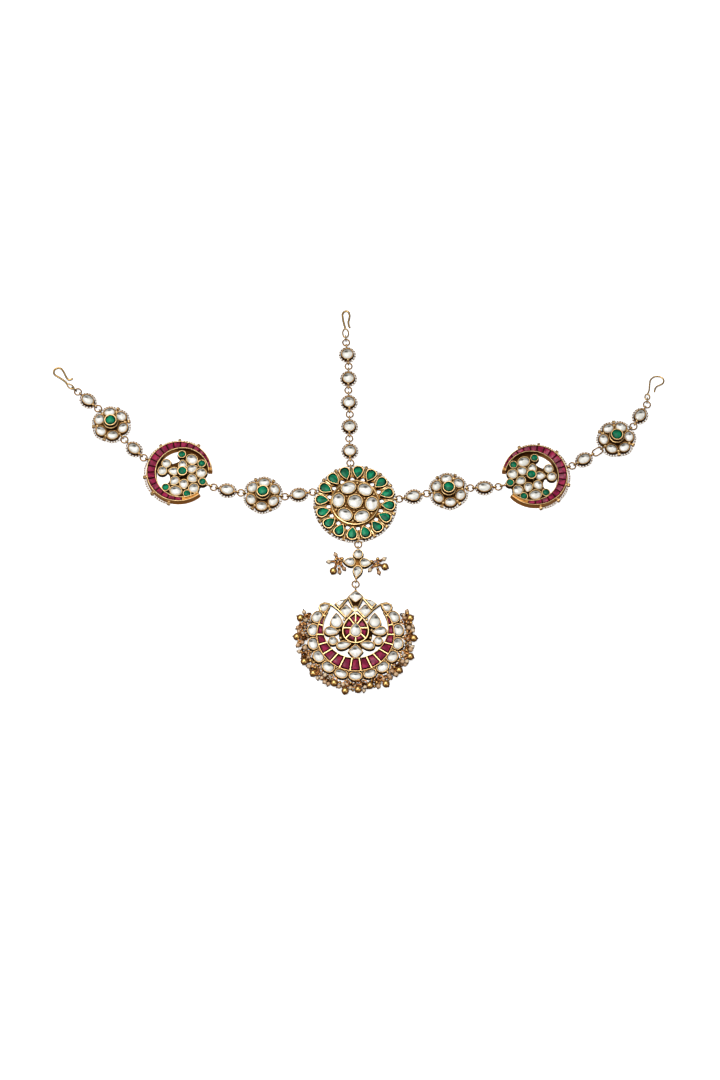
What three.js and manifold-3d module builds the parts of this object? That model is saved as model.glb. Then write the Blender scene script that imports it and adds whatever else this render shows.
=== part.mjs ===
// A matha patti: a head ornament of stone-set links, lying on a flat surface.
// Millimetres, +Z up. The origin is the middle of the medallion's back, and +Y runs up the top strip.
import * as THREE from "three";
import { mergeVertices } from "three/addons/utils/BufferGeometryUtils.js";
import Module from "manifold-3d";

const wasm = await Module();
wasm.setup();

// ---------- Driving dimensions ----------
const JOINT_Z = 1.4; // height of every loop and jump ring above the back
const GAP = 0.3; // clearance between pieces that hang in each other

const JUMP_RING = { radius: 1.8, wire: 0.35 }; // to the middle of the wire, and the wire's radius
const LOOP = { radius: 1.06, wire: 0.28 }; // the soldered upright loops
const RING_SPAN = 2 * JUMP_RING.radius; // loop to loop through one jump ring

const MEDALLION = { loopRadius: 21, firstLoop: 6.25, loops: 16, plateRadius: 21.6, plate: 1.4 };
const CHAINS = { right: 6.25, top: 96.25, left: 163.75, bottom: 274 }; // the loops that carry the chains
const ARM_LINK_SPAN = 10.8; // loop to loop
const TOP_LINK_SPAN = 10.2;
const FLOWER_SPAN = 19.2;
const CRESCENT = { outer: 16.8, inner: 13.05, shift: 1.2, half: 155, innerHalf: 148, height: 3.3 };
const CRESCENT_LOOPS = { inward: -17.9, outward: 18.6 };
const CONNECTOR_SPAN = 18.2;

const PEARL = 1.4; // seed pearls strung round the edges
const EDGE_HEIGHT = 1.3; // the strung pearls' height round a link
const BALL = 3.9; // gold balls of the fringe
const DROP_PEARL = 2.6; // pearls of the fringe

const GOLD = { color: 0xc08a3e, roughness: 0.32, metalness: 1 };

// ---------- Small helpers ----------
const radians = THREE.MathUtils.degToRad;
const flat = (degrees, radius = 1) =>
  new THREE.Vector2(radius * Math.cos(radians(degrees)), radius * Math.sin(radians(degrees)));
const outlineOf = (radius, sides) => Array.from({ length: sides }, (_, k) => flat((k * 360) / sides, radius));

// A closed three.js geometry as a manifold-3d solid, with its faces pointing out.
function solid(geometry) {
  geometry.deleteAttribute("normal");
  geometry.deleteAttribute("uv");
  const merged = mergeVertices(geometry, 1e-4);
  const index = merged.index.array;
  const kept = [];
  for (let i = 0; i < index.length; i += 3) {
    const [a, b, c] = [index[i], index[i + 1], index[i + 2]];
    if (a !== b && b !== c && c !== a) kept.push(a, b, c);
  }
  const make = (triVerts) =>
    new wasm.Manifold(
      new wasm.Mesh({
        numProp: 3,
        vertProperties: new Float32Array(merged.attributes.position.array),
        triVerts: new Uint32Array(triVerts),
      }),
    );
  const made = make(kept);
  return made.volume() > 0 ? made : make(kept.reverse());
}

const join = (solids) => solids.reduce((whole, next) => whole.add(next));

// Moves a solid in its piece's plane: turned by degrees, then set at (x, y, z).
const at = (piece, x, y, degrees = 0, z = 0) => piece.rotate(0, 0, degrees).translate(x, y, z);

// A named mesh of one solid. heading turns it about Z.
function node(name, piece, place = new THREE.Vector2(), heading = 0) {
  const mesh = piece.getMesh();
  const corners = new Float32Array(mesh.numVert * 3);
  for (let v = 0; v < mesh.numVert; v += 1)
    for (let k = 0; k < 3; k += 1) corners[3 * v + k] = mesh.vertProperties[v * mesh.numProp + k];
  const geometry = new THREE.BufferGeometry();
  geometry.setAttribute("position", new THREE.BufferAttribute(corners, 3));
  geometry.setIndex(new THREE.BufferAttribute(new Uint32Array(mesh.triVerts), 1));
  geometry.computeVertexNormals();
  const made = new THREE.Mesh(geometry, new THREE.MeshStandardMaterial(GOLD));
  made.name = name;
  made.position.set(place.x, place.y, 0);
  made.rotation.z = radians(heading);
  return made;
}

// ---------- Shapes that repeat ----------

// A profile of [radius, height] pairs turned about the upright axis, which is Y until it is stood up.
const turned = (rows, sides) =>
  new THREE.LatheGeometry(
    rows.map(([radius, height]) => new THREE.Vector2(radius, height)),
    sides,
  );
const stoodUp = (geometry) => solid(geometry).rotate(90, 0, 0);

// A stone in its collet: straight walls from foot up to wall, then the stone's crown. length runs along X.
// point 0 gives an oval; larger values draw the +X end out to a pear's tip. Four sides give a lozenge.
// With an edge, a lower band of that width for strung seed pearls goes round the collet.
function setting({ length, width = length, point = 0, foot = 0, wall = 2.4, crown = 0.8, ...rest }) {
  const { sides = 8, edge = 0 } = rest;
  const wholeLength = length + 2 * edge;
  const wholeWidth = width + 2 * edge;
  const rows = [
    [0, foot],
    [1, foot],
  ];
  if (edge > 0) rows.push([1, EDGE_HEIGHT], [length / wholeLength, EDGE_HEIGHT]);
  rows.push([length / wholeLength, wall], [0, wall + crown]);
  const lathe = turned(rows, sides);
  const widest = 2 * Math.atan(Math.sqrt(1 + point));
  const full = Math.sin(widest) * Math.sin(widest / 2) ** point;
  const p = lathe.attributes.position;
  for (let i = 0; i < p.count; i += 1) {
    const radius = Math.hypot(p.getX(i), p.getZ(i));
    const turn = Math.atan2(p.getX(i), p.getZ(i));
    const side = (Math.sin(turn) * Math.abs(Math.sin(turn / 2)) ** point) / full;
    p.setXYZ(i, (radius * wholeLength * Math.cos(turn)) / 2, (radius * wholeWidth * side) / 2, p.getY(i));
  }
  return solid(lathe);
}

// Stones given as rows of a table, each turned so that its +X end points at turn degrees.
const settings = (rows) => rows.map((row) => at(setting(row), row.x, row.y, row.turn ?? 0));

// The same row on both sides of the line x = 0.
const mirrored = (rows) =>
  rows.flatMap((row) => [row, { ...row, x: -row.x, turn: 180 - (row.turn ?? 0) }]);

function ring(radius, wire, sides = 8) {
  return solid(new THREE.TorusGeometry(radius, wire, 4, sides));
}

// An upright loop soldered at distance reach from the piece's middle, on a stem that starts at root.
function loop(degrees, reach, root, { radius, wire } = LOOP) {
  const eye = ring(radius, wire, 6).rotate(90, 0, 0).translate(reach, 0, JOINT_Z);
  const length = reach - radius - root;
  if (length <= 0) return eye.rotate(0, 0, degrees);
  const stem = solid(new THREE.BoxGeometry(length + wire, 2 * wire, JOINT_Z));
  return eye.add(stem.translate(root + (length + wire) / 2, 0, JOINT_Z / 2 + GAP)).rotate(0, 0, degrees);
}

// A square bar between two points of the piece's plane, from bottom up.
function bar(from, to, width, height, bottom = 0) {
  const run = new THREE.Vector2(to[0] - from[0], to[1] - from[1]);
  const box = solid(new THREE.BoxGeometry(run.length(), width, height));
  const middle = [(from[0] + to[0]) / 2, (from[1] + to[1]) / 2];
  const turn = THREE.MathUtils.radToDeg(Math.atan2(run.y, run.x));
  return at(box, middle[0], middle[1], turn, bottom + height / 2);
}

function disc(radius, height, sides) {
  const drum = solid(new THREE.CylinderGeometry(radius, radius, height, sides));
  return drum.rotate(90, 0, 0).translate(0, 0, height / 2);
}

function bead(diameter, x, y, sides = 8) {
  const ball = solid(new THREE.SphereGeometry(diameter / 2, sides, sides / 2));
  return ball.rotate(90, 0, 0).translate(x, y, diameter / 2);
}

// The room that a jump ring needs above a low edge, at distance reach from the piece's middle.
const ROOM_HEIGHT = 4;

function ringRoom(degrees, reach) {
  const room = disc(JUMP_RING.radius + JUMP_RING.wire + GAP, ROOM_HEIGHT, 16);
  return room.translate(reach, 0, JOINT_Z - JUMP_RING.wire - GAP).rotate(0, 0, degrees);
}

// A short upright loop that only carries the thread of seed pearls, as a solid bar.
const NUB = { width: 0.6, height: 1.9, bottom: 0.3 };
const nub = (degrees, root, length) =>
  bar([root, 0], [root + length, 0], NUB.width, NUB.height, NUB.bottom).rotate(0, 0, degrees);

// A flat plate with the outline of a shape, from the back up.
const plate = (shape, height, curveSegments) =>
  solid(new THREE.ExtrudeGeometry(shape, { depth: height, bevelEnabled: false, curveSegments }));

// ---------- Links ----------

// A stone link: its collet, a low band for the seed pearls round it, and a loop at each end.
function stoneLink({ span, ...stone }) {
  return join([setting({ ...stone, sides: 10 }), loop(0, span / 2, 0), loop(180, span / 2, 0)]);
}

// ---------- Flowers ----------
const FLOWER = { petals: 6, petalRadius: 6.5, edgeRadius: 10, notch: 7.6, shoulder: 8.8, tip: 9.2 };
const PETAL = { length: 5.2, width: 6.1, foot: 1.8, wall: 2.4, sides: 7 };

// The lobed back plate, as [share of a petal's step, radius].
const FLOWER_LOBE = [
  [0, FLOWER.notch],
  [0.2, FLOWER.shoulder],
  [0.5, FLOWER.tip],
  [0.8, FLOWER.shoulder],
];

// The raised collet of the middle stone, as [radius, height].
const FLOWER_COLLET = [
  [0, 2],
  [3.9, 2],
  [3.9, 4.9],
  [3.2, 5.1],
  [3.1, 7],
  [0, 7.7],
];

function flower() {
  const reach = FLOWER_SPAN / 2;
  const step = 360 / FLOWER.petals;
  const corners = [];
  for (let k = 0; k < FLOWER.petals; k += 1)
    for (const [share, radius] of FLOWER_LOBE) corners.push(flat((k + share) * step, radius));
  const whole = [plate(new THREE.Shape(corners), 2.2), stoodUp(turned(FLOWER_COLLET, 12))];
  let edge = ring(FLOWER.edgeRadius, PEARL / 2, 24).translate(0, 0, PEARL / 2 + 0.05);
  const ringReach = reach + JUMP_RING.radius;
  edge = edge.subtract(ringRoom(0, ringReach)).subtract(ringRoom(180, ringReach));
  for (let k = 0; k < FLOWER.petals; k += 1) {
    const turn = (k + 0.5) * step;
    const place = flat(turn, FLOWER.petalRadius);
    whole.push(at(setting(PETAL), place.x, place.y, turn));
    if (k % (FLOWER.petals / 2) === 0) whole.push(loop(k * step, reach, FLOWER.notch - 0.4));
    else whole.push(nub(k * step, FLOWER.notch - 0.2, 3.2));
  }
  return join([...whole, edge]);
}

// ---------- Crescents ----------
// The chain runs along X. The channel opens towards -X, where the open-work flower carries the inward loop.
const CRESCENT_FLOWER = { x: -1.6, y: 0.7 };

// The flower's stones: [angle, distance] places about its middle, and the stone, whose length runs
// along its angle. It isn't regular, and the left crescent is the right one's mirror image.
const CRESCENT_STONES = [
  {
    places: [[65, 4.1], [133.5, 5.4], [190, 6.3], [238.5, 6.8], [285.5, 6.35], [342, 4.65]],
    stone: { length: 5.6, width: 4.7, point: 0.35 },
  },
  {
    places: [[62.6, 9.8], [130.6, 10.85], [183.6, 11.8], [233.5, 12.5], [290, 12.1]],
    stone: { length: 4.2, wall: 2.9, sides: 6 },
  },
  { places: [[99, 8.6], [263, 10.9]], stone: { length: 5.6, width: 6.4, wall: 2.5 } },
  { places: [[158, 9.75], [212, 10.8]], stone: { length: 5.4, width: 5.4, point: 0.2, wall: 2.5 } },
  { places: [[6, 9.8], [340, 10.45]], stone: { length: 5 } },
  { places: [[0, 0]], stone: { length: 5, wall: 4 } },
];
const CRESCENT_EDGE_LOOPS = [-98, -65.3, -32.6, 32.6, 65.3, 98];

// The back plate of the open-work flower, as [angle, radius] about its middle, for one half.
const CRESCENT_PLATE = [
  [0, 12.4],
  [20, 12.8],
  [26, 7.2],
  [46, 7.2],
  [52, 12.2],
  [90, 12.4],
  [120, 12.8],
  [150, 12.4],
  [180, 13],
];

function crescent(up) {
  const { outer, inner, shift, half, innerHalf, height } = CRESCENT;
  const outline = new THREE.Shape();
  outline.absarc(0, 0, outer, radians(-half), radians(half), false);
  outline.absarc(-shift, 0, inner, radians(innerHalf), radians(-innerHalf), true);
  const reachOfEdge = CRESCENT_EDGE_LOOPS.at(-1);
  const strung = new THREE.Shape();
  strung.absarc(0, 0, outer + PEARL * 0.8, radians(-reachOfEdge), radians(reachOfEdge), false);
  strung.absarc(0, 0, outer - 0.4, radians(reachOfEdge), radians(-reachOfEdge), true);
  const back = CRESCENT_PLATE.map(([angle, radius]) => flat(angle, radius));
  const otherHalf = back.slice(1, -1).reverse().map(({ x, y }) => new THREE.Vector2(x, -y));
  const parts = [
    plate(outline, height, 20),
    plate(strung, 1.2, 12).translate(0, 0, 0.1),
    plate(new THREE.Shape([...back, ...otherHalf]), 1).translate(CRESCENT_FLOWER.x, up * CRESCENT_FLOWER.y, 0.05),
    loop(0, CRESCENT_LOOPS.outward, outer - 0.4),
    loop(180, -CRESCENT_LOOPS.inward, -CRESCENT_FLOWER.x + 13),
  ];
  for (const { places, stone } of CRESCENT_STONES)
    for (const [angle, far] of places) {
      const place = flat(up * angle, far);
      const [x, y] = [place.x + CRESCENT_FLOWER.x, place.y + up * CRESCENT_FLOWER.y];
      parts.push(at(setting({ ...stone, foot: 0.5 }), x, y, up * angle));
    }
  for (const angle of CRESCENT_EDGE_LOOPS) parts.push(nub(angle, outer - 0.4, 2.4));
  return join(parts);
}

// ---------- Medallion ----------
const PEARS = { count: 16, radius: 17, length: 7.2, width: 5.6, first: 85 };
const OVALS = { count: 6, radius: 8.6, length: 6.6, width: 8.1, first: -6.4 };

// The see-through gaps between the pears' tips.
const MEDALLION_GAPS = { radius: 13.4, size: 0.9 };

// The raised ring round the ovals, as [radius, height].
const MEDALLION_GALLERY = [
  [0, 0.5],
  [12.4, 0.5],
  [12.4, 3.1],
  [11.7, 3.1],
  [11.7, 2.6],
  [0, 2.6],
];

function medallion() {
  const outline = new THREE.Shape(outlineOf(MEDALLION.plateRadius, 36));
  const step = 360 / PEARS.count;
  for (let k = 0; k < PEARS.count; k += 1) {
    const place = flat(PEARS.first + (k + 0.5) * step, MEDALLION_GAPS.radius);
    outline.holes.push(new THREE.Path(outlineOf(MEDALLION_GAPS.size, 4).map((corner) => corner.add(place))));
  }
  let whole = plate(outline, MEDALLION.plate).add(stoodUp(turned(MEDALLION_GALLERY, 24)));
  for (let k = 0; k < PEARS.count; k += 1) {
    const turn = PEARS.first + k * step;
    const place = flat(turn, PEARS.radius);
    const pear = setting({ length: PEARS.length, width: PEARS.width, point: 0.45, foot: 0.5, wall: 2.9 });
    whole = whole.add(at(pear, place.x, place.y, turn + 180));
  }
  for (let k = 0; k < OVALS.count; k += 1) {
    const turn = OVALS.first + (k * 360) / OVALS.count;
    const place = flat(turn, OVALS.radius);
    whole = whole.add(at(setting({ ...OVALS, foot: 2, wall: 3.7 }), place.x, place.y, turn));
  }
  whole = whole.add(setting({ length: 7.8, foot: 2, wall: 4.3, sides: 12 }));
  const chains = Object.values(CHAINS);
  const loopStep = 360 / MEDALLION.loops;
  const loops = chains.map((turn) => loop(turn, MEDALLION.loopRadius, MEDALLION.loopRadius - 2.2));
  for (const turn of chains) whole = whole.subtract(ringRoom(turn, MEDALLION.loopRadius + JUMP_RING.radius));
  for (let turn = MEDALLION.firstLoop; turn < 360; turn += loopStep) {
    const isChain = chains.some((chain) => Math.abs(chain - turn) < loopStep / 2);
    if (!isChain) loops.push(nub(turn, MEDALLION.loopRadius - 1.6, 1.6));
  }
  return join([whole, ...loops]);
}

// ---------- Connector above the pendant ----------
// Y runs towards the medallion.
const SIDE_LOOP = { radius: 0.98, wire: 0.26 };
const CONNECTOR_SIDE = { x: 8.1, y: 1.2 }; // each side loop, from the middle

function connector() {
  const reach = CONNECTOR_SPAN / 2;
  return join([
    ...settings([
      { x: 0, y: 5.4, length: 5.4, width: 5.2, turn: 90, sides: 10 },
      { x: 0, y: -4.3, length: 6.9, width: 4.9, point: 0.6, turn: -90 },
      ...mirrored([{ x: 4.2, y: CONNECTOR_SIDE.y, length: 6.2, width: 5.2, point: 0.5, turn: 0 }]),
    ]),
    disc(3.6, 1.6, 8).translate(0, 0.6, 0.1),
    loop(90, reach, 7.2),
    loop(-90, reach, 7.2),
    loop(0, CONNECTOR_SIDE.x, 6.8, SIDE_LOOP).translate(0, CONNECTOR_SIDE.y, 0),
    loop(180, CONNECTOR_SIDE.x, 6.8, SIDE_LOOP).translate(0, CONNECTOR_SIDE.y, 0),
  ]);
}

// ---------- Beads on head pins ----------
const DROP_RING = { radius: 1.5, wire: 0.3 };

// A small ring with beads on pins, all soldered in one. Rows give each bead's place from the ring's middle.
function beads(rows) {
  const parts = [ring(DROP_RING.radius, DROP_RING.wire, 8).translate(0, 0, JOINT_Z)];
  for (const { x, y, size } of rows) {
    const away = Math.hypot(x, y);
    const start = [(x * DROP_RING.radius) / away, (y * DROP_RING.radius) / away];
    parts.push(bar(start, [x, y], 0.5, 0.6, JOINT_Z - DROP_RING.wire));
    parts.push(bead(size, x, y, size > 3 ? 8 : 6));
  }
  return join(parts);
}

const LEFT_CLUSTER = [
  // from the ring's middle, beside the connector's left loop
  { x: -2.9, y: -5.4, size: BALL },
  { x: 2.7, y: -4.5, size: 2.4 },
  { x: 0.4, y: -6.6, size: 2.4 },
  { x: -5.6, y: -0.3, size: 2.6 },
  { x: -1.8, y: 4.3, size: 2.6 },
];
const RIGHT_CLUSTER = [
  { x: 4.5, y: -2.8, size: BALL },
  { x: 4.2, y: 1.7, size: 2.6 },
  { x: 1.7, y: -5.8, size: 2.4 },
  { x: -3, y: -4.6, size: 2.4 },
  { x: 1.4, y: 3.2, size: 2.2 },
];

// ---------- Pendant ----------
// The middle of its ruby crescent is the pendant's own origin, and Y runs towards the medallion.
const PENDANT = {
  loopY: 26,
  outer: 19.7,
  inner: 16,
  shift: 3.3,
  band: 3.2,
  hornFrom: 42,
  edgeStones: 13,
  edgeStep: 19.5,
  edgeRadius: 22.7,
  dropLoopRadius: 24.2,
};
const WHEEL = { length: 17.4, width: 14.2, point: 0.3, wall: 2.8, crown: 0.3, sides: 12, foot: 0.5 };
const PENDANT_MIDDLE_STONES = [
  { x: 0, y: 20.8, length: 6.9, width: 7.8, sides: 4, turn: 90, wall: 2.6 },
  { x: 0, y: -8.9, length: 7.9, width: 7.7, sides: 4, turn: 90, wall: 2.6 },
  { x: 0, y: 3.7, turn: 90, ...WHEEL },
  { x: 0, y: 2, length: 7.8, width: 5.8, point: 0.4, turn: 90, wall: 3.2, foot: 2 },
];
const PENDANT_SIDE_STONES = [
  { x: 7.3, y: 17.2, length: 7.4, width: 4, point: 0.3, turn: 155, wall: 2.4 },
  { x: 4.8, y: 13, length: 6.8, width: 6, sides: 4, turn: 90, wall: 2.5 },
  { x: 9.7, y: 7.9, length: 8.4, width: 6.5, point: 0.6, turn: 90, wall: 2.6 },
  { x: 12, y: 2, length: 7.4, width: 5, point: 0.5, turn: 190, wall: 2.5 },
  { x: 11.3, y: -3.1, length: 4.7, width: 4.7, wall: 2.4 },
  { x: 6, y: -5.4, length: 7.3, width: 4.7, point: 0.4, turn: 170, wall: 2.5 },
  { x: 15.4, y: 14.7, length: 5.4, width: 4.4, point: 0.4, turn: 155, wall: 2.3 },
];
const PENDANT_SIDE_BARS = [
  { from: [8, 12.2], to: [12.9, 16.3], width: 1.1, height: 2.4 },
  { from: [12.6, 16.2], to: [14.6, 13], width: 1.1, height: 2.4 },
  { from: [12.4, 16], to: [15, 16.2], width: 1.1, height: 2.4 },
  { from: [8.6, 13], to: [4.8, 8.4], width: 1, height: 2.4 },
  { from: [3.2, 20.4], to: [1.2, 14.4], width: 0.9, height: 2.2 },
  { from: [6, 17.9], to: [3, 20.3], width: 0.9, height: 2.2 },
  { from: [9, -4], to: [7, -2.6], width: 1.6, height: 1.4 },
  { from: [11.4, -5.4], to: [11.6, -8.6], width: 1.6, height: 1.4 },
];

// Angles of the drop loops, from the left end of the fringe round the bottom to the right end.
const FIRST_DROP = 162.75;
const DROPS = PENDANT.edgeStones - 1;
const dropAngles = Array.from({ length: DROPS }, (_, k) => FIRST_DROP + k * PENDANT.edgeStep);

function pendant() {
  const { outer, inner, shift, band, hornFrom } = PENDANT;
  const horn = flat(hornFrom, outer);
  const innerTurn = (Math.atan2(horn.y - shift, horn.x + 0.9) * 180) / Math.PI;
  const outline = new THREE.Shape();
  outline.absarc(0, 0, outer, radians(180 - hornFrom), radians(360 + hornFrom), false);
  outline.absarc(0, shift, inner, radians(innerTurn - 4), radians(-180 - innerTurn + 4), true);
  const parts = [
    plate(outline, band, 22),
    disc(9.6, 1, 14).translate(0, 0.6, 0.05),
    ...settings([...PENDANT_MIDDLE_STONES, ...mirrored(PENDANT_SIDE_STONES)]),
    ring(1.6, 0.4, 8).translate(0, 13.3, 1.6),
    loop(90, PENDANT.loopY, 23),
  ];
  for (const side of [1, -1])
    for (const { from, to, width, height } of PENDANT_SIDE_BARS)
      parts.push(bar([from[0] * side, from[1]], [to[0] * side, to[1]], width, height));
  for (let k = 0; k < PENDANT.edgeStones; k += 1) {
    const turn = -90 + (k - (PENDANT.edgeStones - 1) / 2) * PENDANT.edgeStep;
    const place = flat(turn, PENDANT.edgeRadius);
    parts.push(at(setting({ length: 6.8, width: 6, wall: 2.4, sides: 7 }), place.x, place.y, turn + 180));
  }
  for (const angle of dropAngles) parts.push(loop(angle, PENDANT.dropLoopRadius, outer - 0.5, SIDE_LOOP));
  return join(parts);
}

// A drop of the fringe, from its ring's middle: how far out its ball and its two pearls hang.
const DROP = { ballReach: 4.6, pearlReach: 2.6, apart: 4.2, apartAtEnd: 3.1 };

// One stretch of the fringe: the drops from index first to index last, side by side.
function fringe(first, last) {
  const parts = [];
  const { ballReach, pearlReach, apart, apartAtEnd } = DROP;
  for (let k = first; k <= last; k += 1) {
    const rows = [
      { x: ballReach, y: 0, size: BALL },
      { x: pearlReach, y: k === last ? apartAtEnd : apart, size: DROP_PEARL },
      { x: pearlReach, y: k === first ? -apartAtEnd : -apart, size: DROP_PEARL },
    ];
    const middle = PENDANT.dropLoopRadius + DROP_RING.radius;
    parts.push(beads(rows).translate(middle, 0, 0).rotate(0, 0, dropAngles[k]));
  }
  return join(parts);
}

// ---------- Hooks ----------
// The eye's middle is a hook's own origin, and X runs outwards along its shank.
const HOOKS = {
  left: {
    wire: 0.4,
    eye: { length: 5.2, width: 2.7 },
    route: [
      [2.2, 0],
      [4.2, -0.5],
      [7.5, -0.5],
      [10.6, -0.3],
      [12.4, -1],
      [13.1, -2.8],
      [12.1, -4.5],
      [10.4, -5],
      [8.1, -4.2],
      [6.1, -3.2],
      [4.2, -2.4],
      [2.8, -2.7],
      [2.2, -3.9],
    ],
  },
  right: {
    wire: 0.32,
    eye: { length: 4, width: 3.3 },
    route: [
      [1.7, 0],
      [4, -0.7],
      [6.4, -0.8],
      [8.5, -0.9],
      [10.5, -1.3],
      [12.2, -2.9],
      [12.7, -4.9],
      [12.4, -6.7],
      [11.3, -7.9],
      [9.9, -8.1],
      [8.6, -7.5],
      [7.6, -6.1],
      [6.9, -4.9],
      [5.9, -4.1],
      [4.8, -3.7],
      [3.5, -3.6],
    ],
  },
  top: {
    wire: 0.42,
    eye: { length: 6, width: 3.8 },
    route: [
      [2.6, 0],
      [5.8, 0.6],
      [9, 1],
      [11.3, 1.1],
      [12.7, 0.4],
      [13.3, -0.9],
      [12.7, -2.1],
      [11.3, -2.6],
      [10, -2.6],
      [8.4, -2.3],
      [6.8, -1.8],
      [4.9, -1.9],
      [3.4, -2.3],
    ],
  },
};

function wireAlong(points, radius, steps) {
  const path = new THREE.CatmullRomCurve3(points.map(([x, y]) => new THREE.Vector3(x, y, 0)));
  const section = new THREE.Shape(outlineOf(radius, 6));
  return solid(new THREE.ExtrudeGeometry(section, { steps, bevelEnabled: false, extrudePath: path }));
}

// An oval ring lying flat, length along X, measured outside the wire. square under 1 fills its corners out.
function ovalRing(length, width, wire, square = 1, sides = 12) {
  const tube = 0.5;
  const torus = new THREE.TorusGeometry(1, tube, 4, sides);
  const swell = (part) => Math.sign(part) * Math.abs(part) ** square;
  const p = torus.attributes.position;
  for (let i = 0; i < p.count; i += 1) {
    const turn = Math.atan2(p.getY(i), p.getX(i));
    const out = ((Math.hypot(p.getX(i), p.getY(i)) - 1) * wire) / tube;
    const x = (length / 2 - wire + out) * swell(Math.cos(turn));
    const y = (width / 2 - wire + out) * swell(Math.sin(turn));
    p.setXYZ(i, x, y, (p.getZ(i) * wire) / tube);
  }
  return solid(torus);
}

// ---------- The chain, walked from the medallion outwards ----------
const group = new THREE.Group();

function addRing(name, middle) {
  group.add(node(name, ring(JUMP_RING.radius, JUMP_RING.wire).translate(0, 0, JOINT_Z), middle));
}

// A jump ring drawn out along heading. Returns where a round ring for the next piece would lie.
function addLongRing(name, middle, heading, stretch) {
  const along = flat(heading);
  const end = ring(JUMP_RING.radius, JUMP_RING.wire).trimByPlane([1, 0, 0], 0).translate(stretch / 2, 0, 0);
  const side = solid(new THREE.CylinderGeometry(JUMP_RING.wire, JUMP_RING.wire, stretch + 0.1, 4)).rotate(0, 0, 90);
  const sides = [JUMP_RING.radius, -JUMP_RING.radius].map((y) => side.translate(0, y, 0));
  const made = join([end, end.rotate(0, 0, 180), ...sides]).translate(0, 0, JOINT_Z);
  group.add(node(name, made, middle.clone().addScaledVector(along, stretch / 2), heading));
  return middle.clone().addScaledVector(along, stretch);
}

// Adds a piece whose inward loop hangs in the ring at middle, and returns where the next ring's middle lies.
function addPiece(name, piece, middle, heading, span, shift = 0) {
  const along = flat(heading);
  const place = middle.clone().addScaledVector(along, JUMP_RING.radius + span / 2 - shift);
  group.add(node(name, piece, place, heading));
  return middle.clone().addScaledVector(along, RING_SPAN + span);
}

const SMALL_RING = { wire: 0.25, height: 2.5, square: 0.6 };
const HOOK_STEPS = 20; // stretches of wire along a hook

// The small upright ring and the hook that end a chain. The hook leans from its eye down to the surface.
function addHook(side, middle, heading) {
  const { wire, eye, route } = HOOKS[side];
  const along = flat(heading);
  const smallLength = 2 * (JUMP_RING.wire + wire) + 4 * GAP + 4 * SMALL_RING.wire;
  const start = JUMP_RING.radius - JUMP_RING.wire - GAP - 2 * SMALL_RING.wire;
  const link = ovalRing(smallLength, SMALL_RING.height, SMALL_RING.wire, SMALL_RING.square).rotate(90, 0, 0);
  const linkPlace = middle.clone().addScaledVector(along, start + smallLength / 2);
  group.add(node(`small_ring_${side}`, link.translate(0, 0, JOINT_Z), linkPlace, heading));
  const eyePlace = JUMP_RING.radius + JUMP_RING.wire + GAP + eye.length / 2;
  const reach = Math.max(...route.map(([x]) => x)) + wire;
  const lean = Math.asin((JOINT_Z - wire) / reach);
  const hook = join([ovalRing(eye.length, eye.width, wire), wireAlong(route, wire, HOOK_STEPS)]);
  const leaning = hook.rotate(0, (lean * 180) / Math.PI, 0).translate(0, 0, JOINT_Z);
  group.add(node(`hook_${side}`, leaning, middle.clone().addScaledVector(along, eyePlace), heading));
}

// The links' stones, with edge the width of the pearl band round them.
const OVAL_LINK = { length: 7.3, width: 5.6, edge: 1.15, span: ARM_LINK_SPAN };
const PEAR_LINK = { length: 7.4, width: 5.8, point: 0.35, edge: 1.15, span: ARM_LINK_SPAN };
const ROUND_LINK = { length: 6.4, width: 6.4, edge: 1.2, span: TOP_LINK_SPAN };
const TOP_HEADINGS = [92.4, 89.2, 93, 89.6, 95.4];
const TOP_HOOK_HEADING = 93;
const PENDANT_HEADING = -93.5;

// The pieces of each arm from the medallion outwards, with the direction each one runs in.
const ARMS = {
  left: {
    hook: 142,
    pieces: [
      { kind: "link", heading: 190.3 },
      { kind: "flower", heading: 174.7 },
      { kind: "link", heading: 167.4 },
      { kind: "crescent", heading: 155.6 },
      { kind: "link", heading: 135.2 },
      { kind: "flower", heading: 128.8 },
      { kind: "link", heading: 138.5 },
    ],
  },
  right: {
    hook: 85,
    pieces: [
      { kind: "pear", heading: 12.2 },
      { kind: "flower", heading: 7.8 },
      { kind: "link", heading: 2.7 },
      { kind: "crescent", heading: 17 },
      { kind: "link", heading: 31, longRing: { heading: 34, stretch: 2.2 } },
      { kind: "flower", heading: 37 },
      { kind: "link", heading: 58.9 },
    ],
  },
};

function addArm(side) {
  const { hook, pieces } = ARMS[side];
  let middle = flat(CHAINS[side], MEDALLION.loopRadius + JUMP_RING.radius);
  let rings = 1;
  let links = 0;
  const flowers = ["inner", "outer"];
  addRing(`ring_${side}_1`, middle);
  for (const { kind, heading, longRing } of pieces) {
    if (kind === "flower") {
      middle = addPiece(`flower_${side}_${flowers.shift()}`, flower(), middle, heading, FLOWER_SPAN);
    } else if (kind === "crescent") {
      const { inward, outward } = CRESCENT_LOOPS;
      const shift = (inward + outward) / 2;
      const piece = crescent(side === "right" ? 1 : -1);
      middle = addPiece(`crescent_${side}`, piece, middle, heading, outward - inward, shift);
    } else {
      links += 1;
      const link = kind === "pear" ? stoneLink(PEAR_LINK).rotate(0, 0, 180) : stoneLink(OVAL_LINK);
      middle = addPiece(`link_${side}_${links}`, link, middle, heading, ARM_LINK_SPAN);
    }
    rings += 1;
    const ringName = `ring_${side}_${rings}`;
    if (longRing) middle = addLongRing(ringName, middle, longRing.heading, longRing.stretch);
    else addRing(ringName, middle);
  }
  addHook(side, middle, hook);
}

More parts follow.
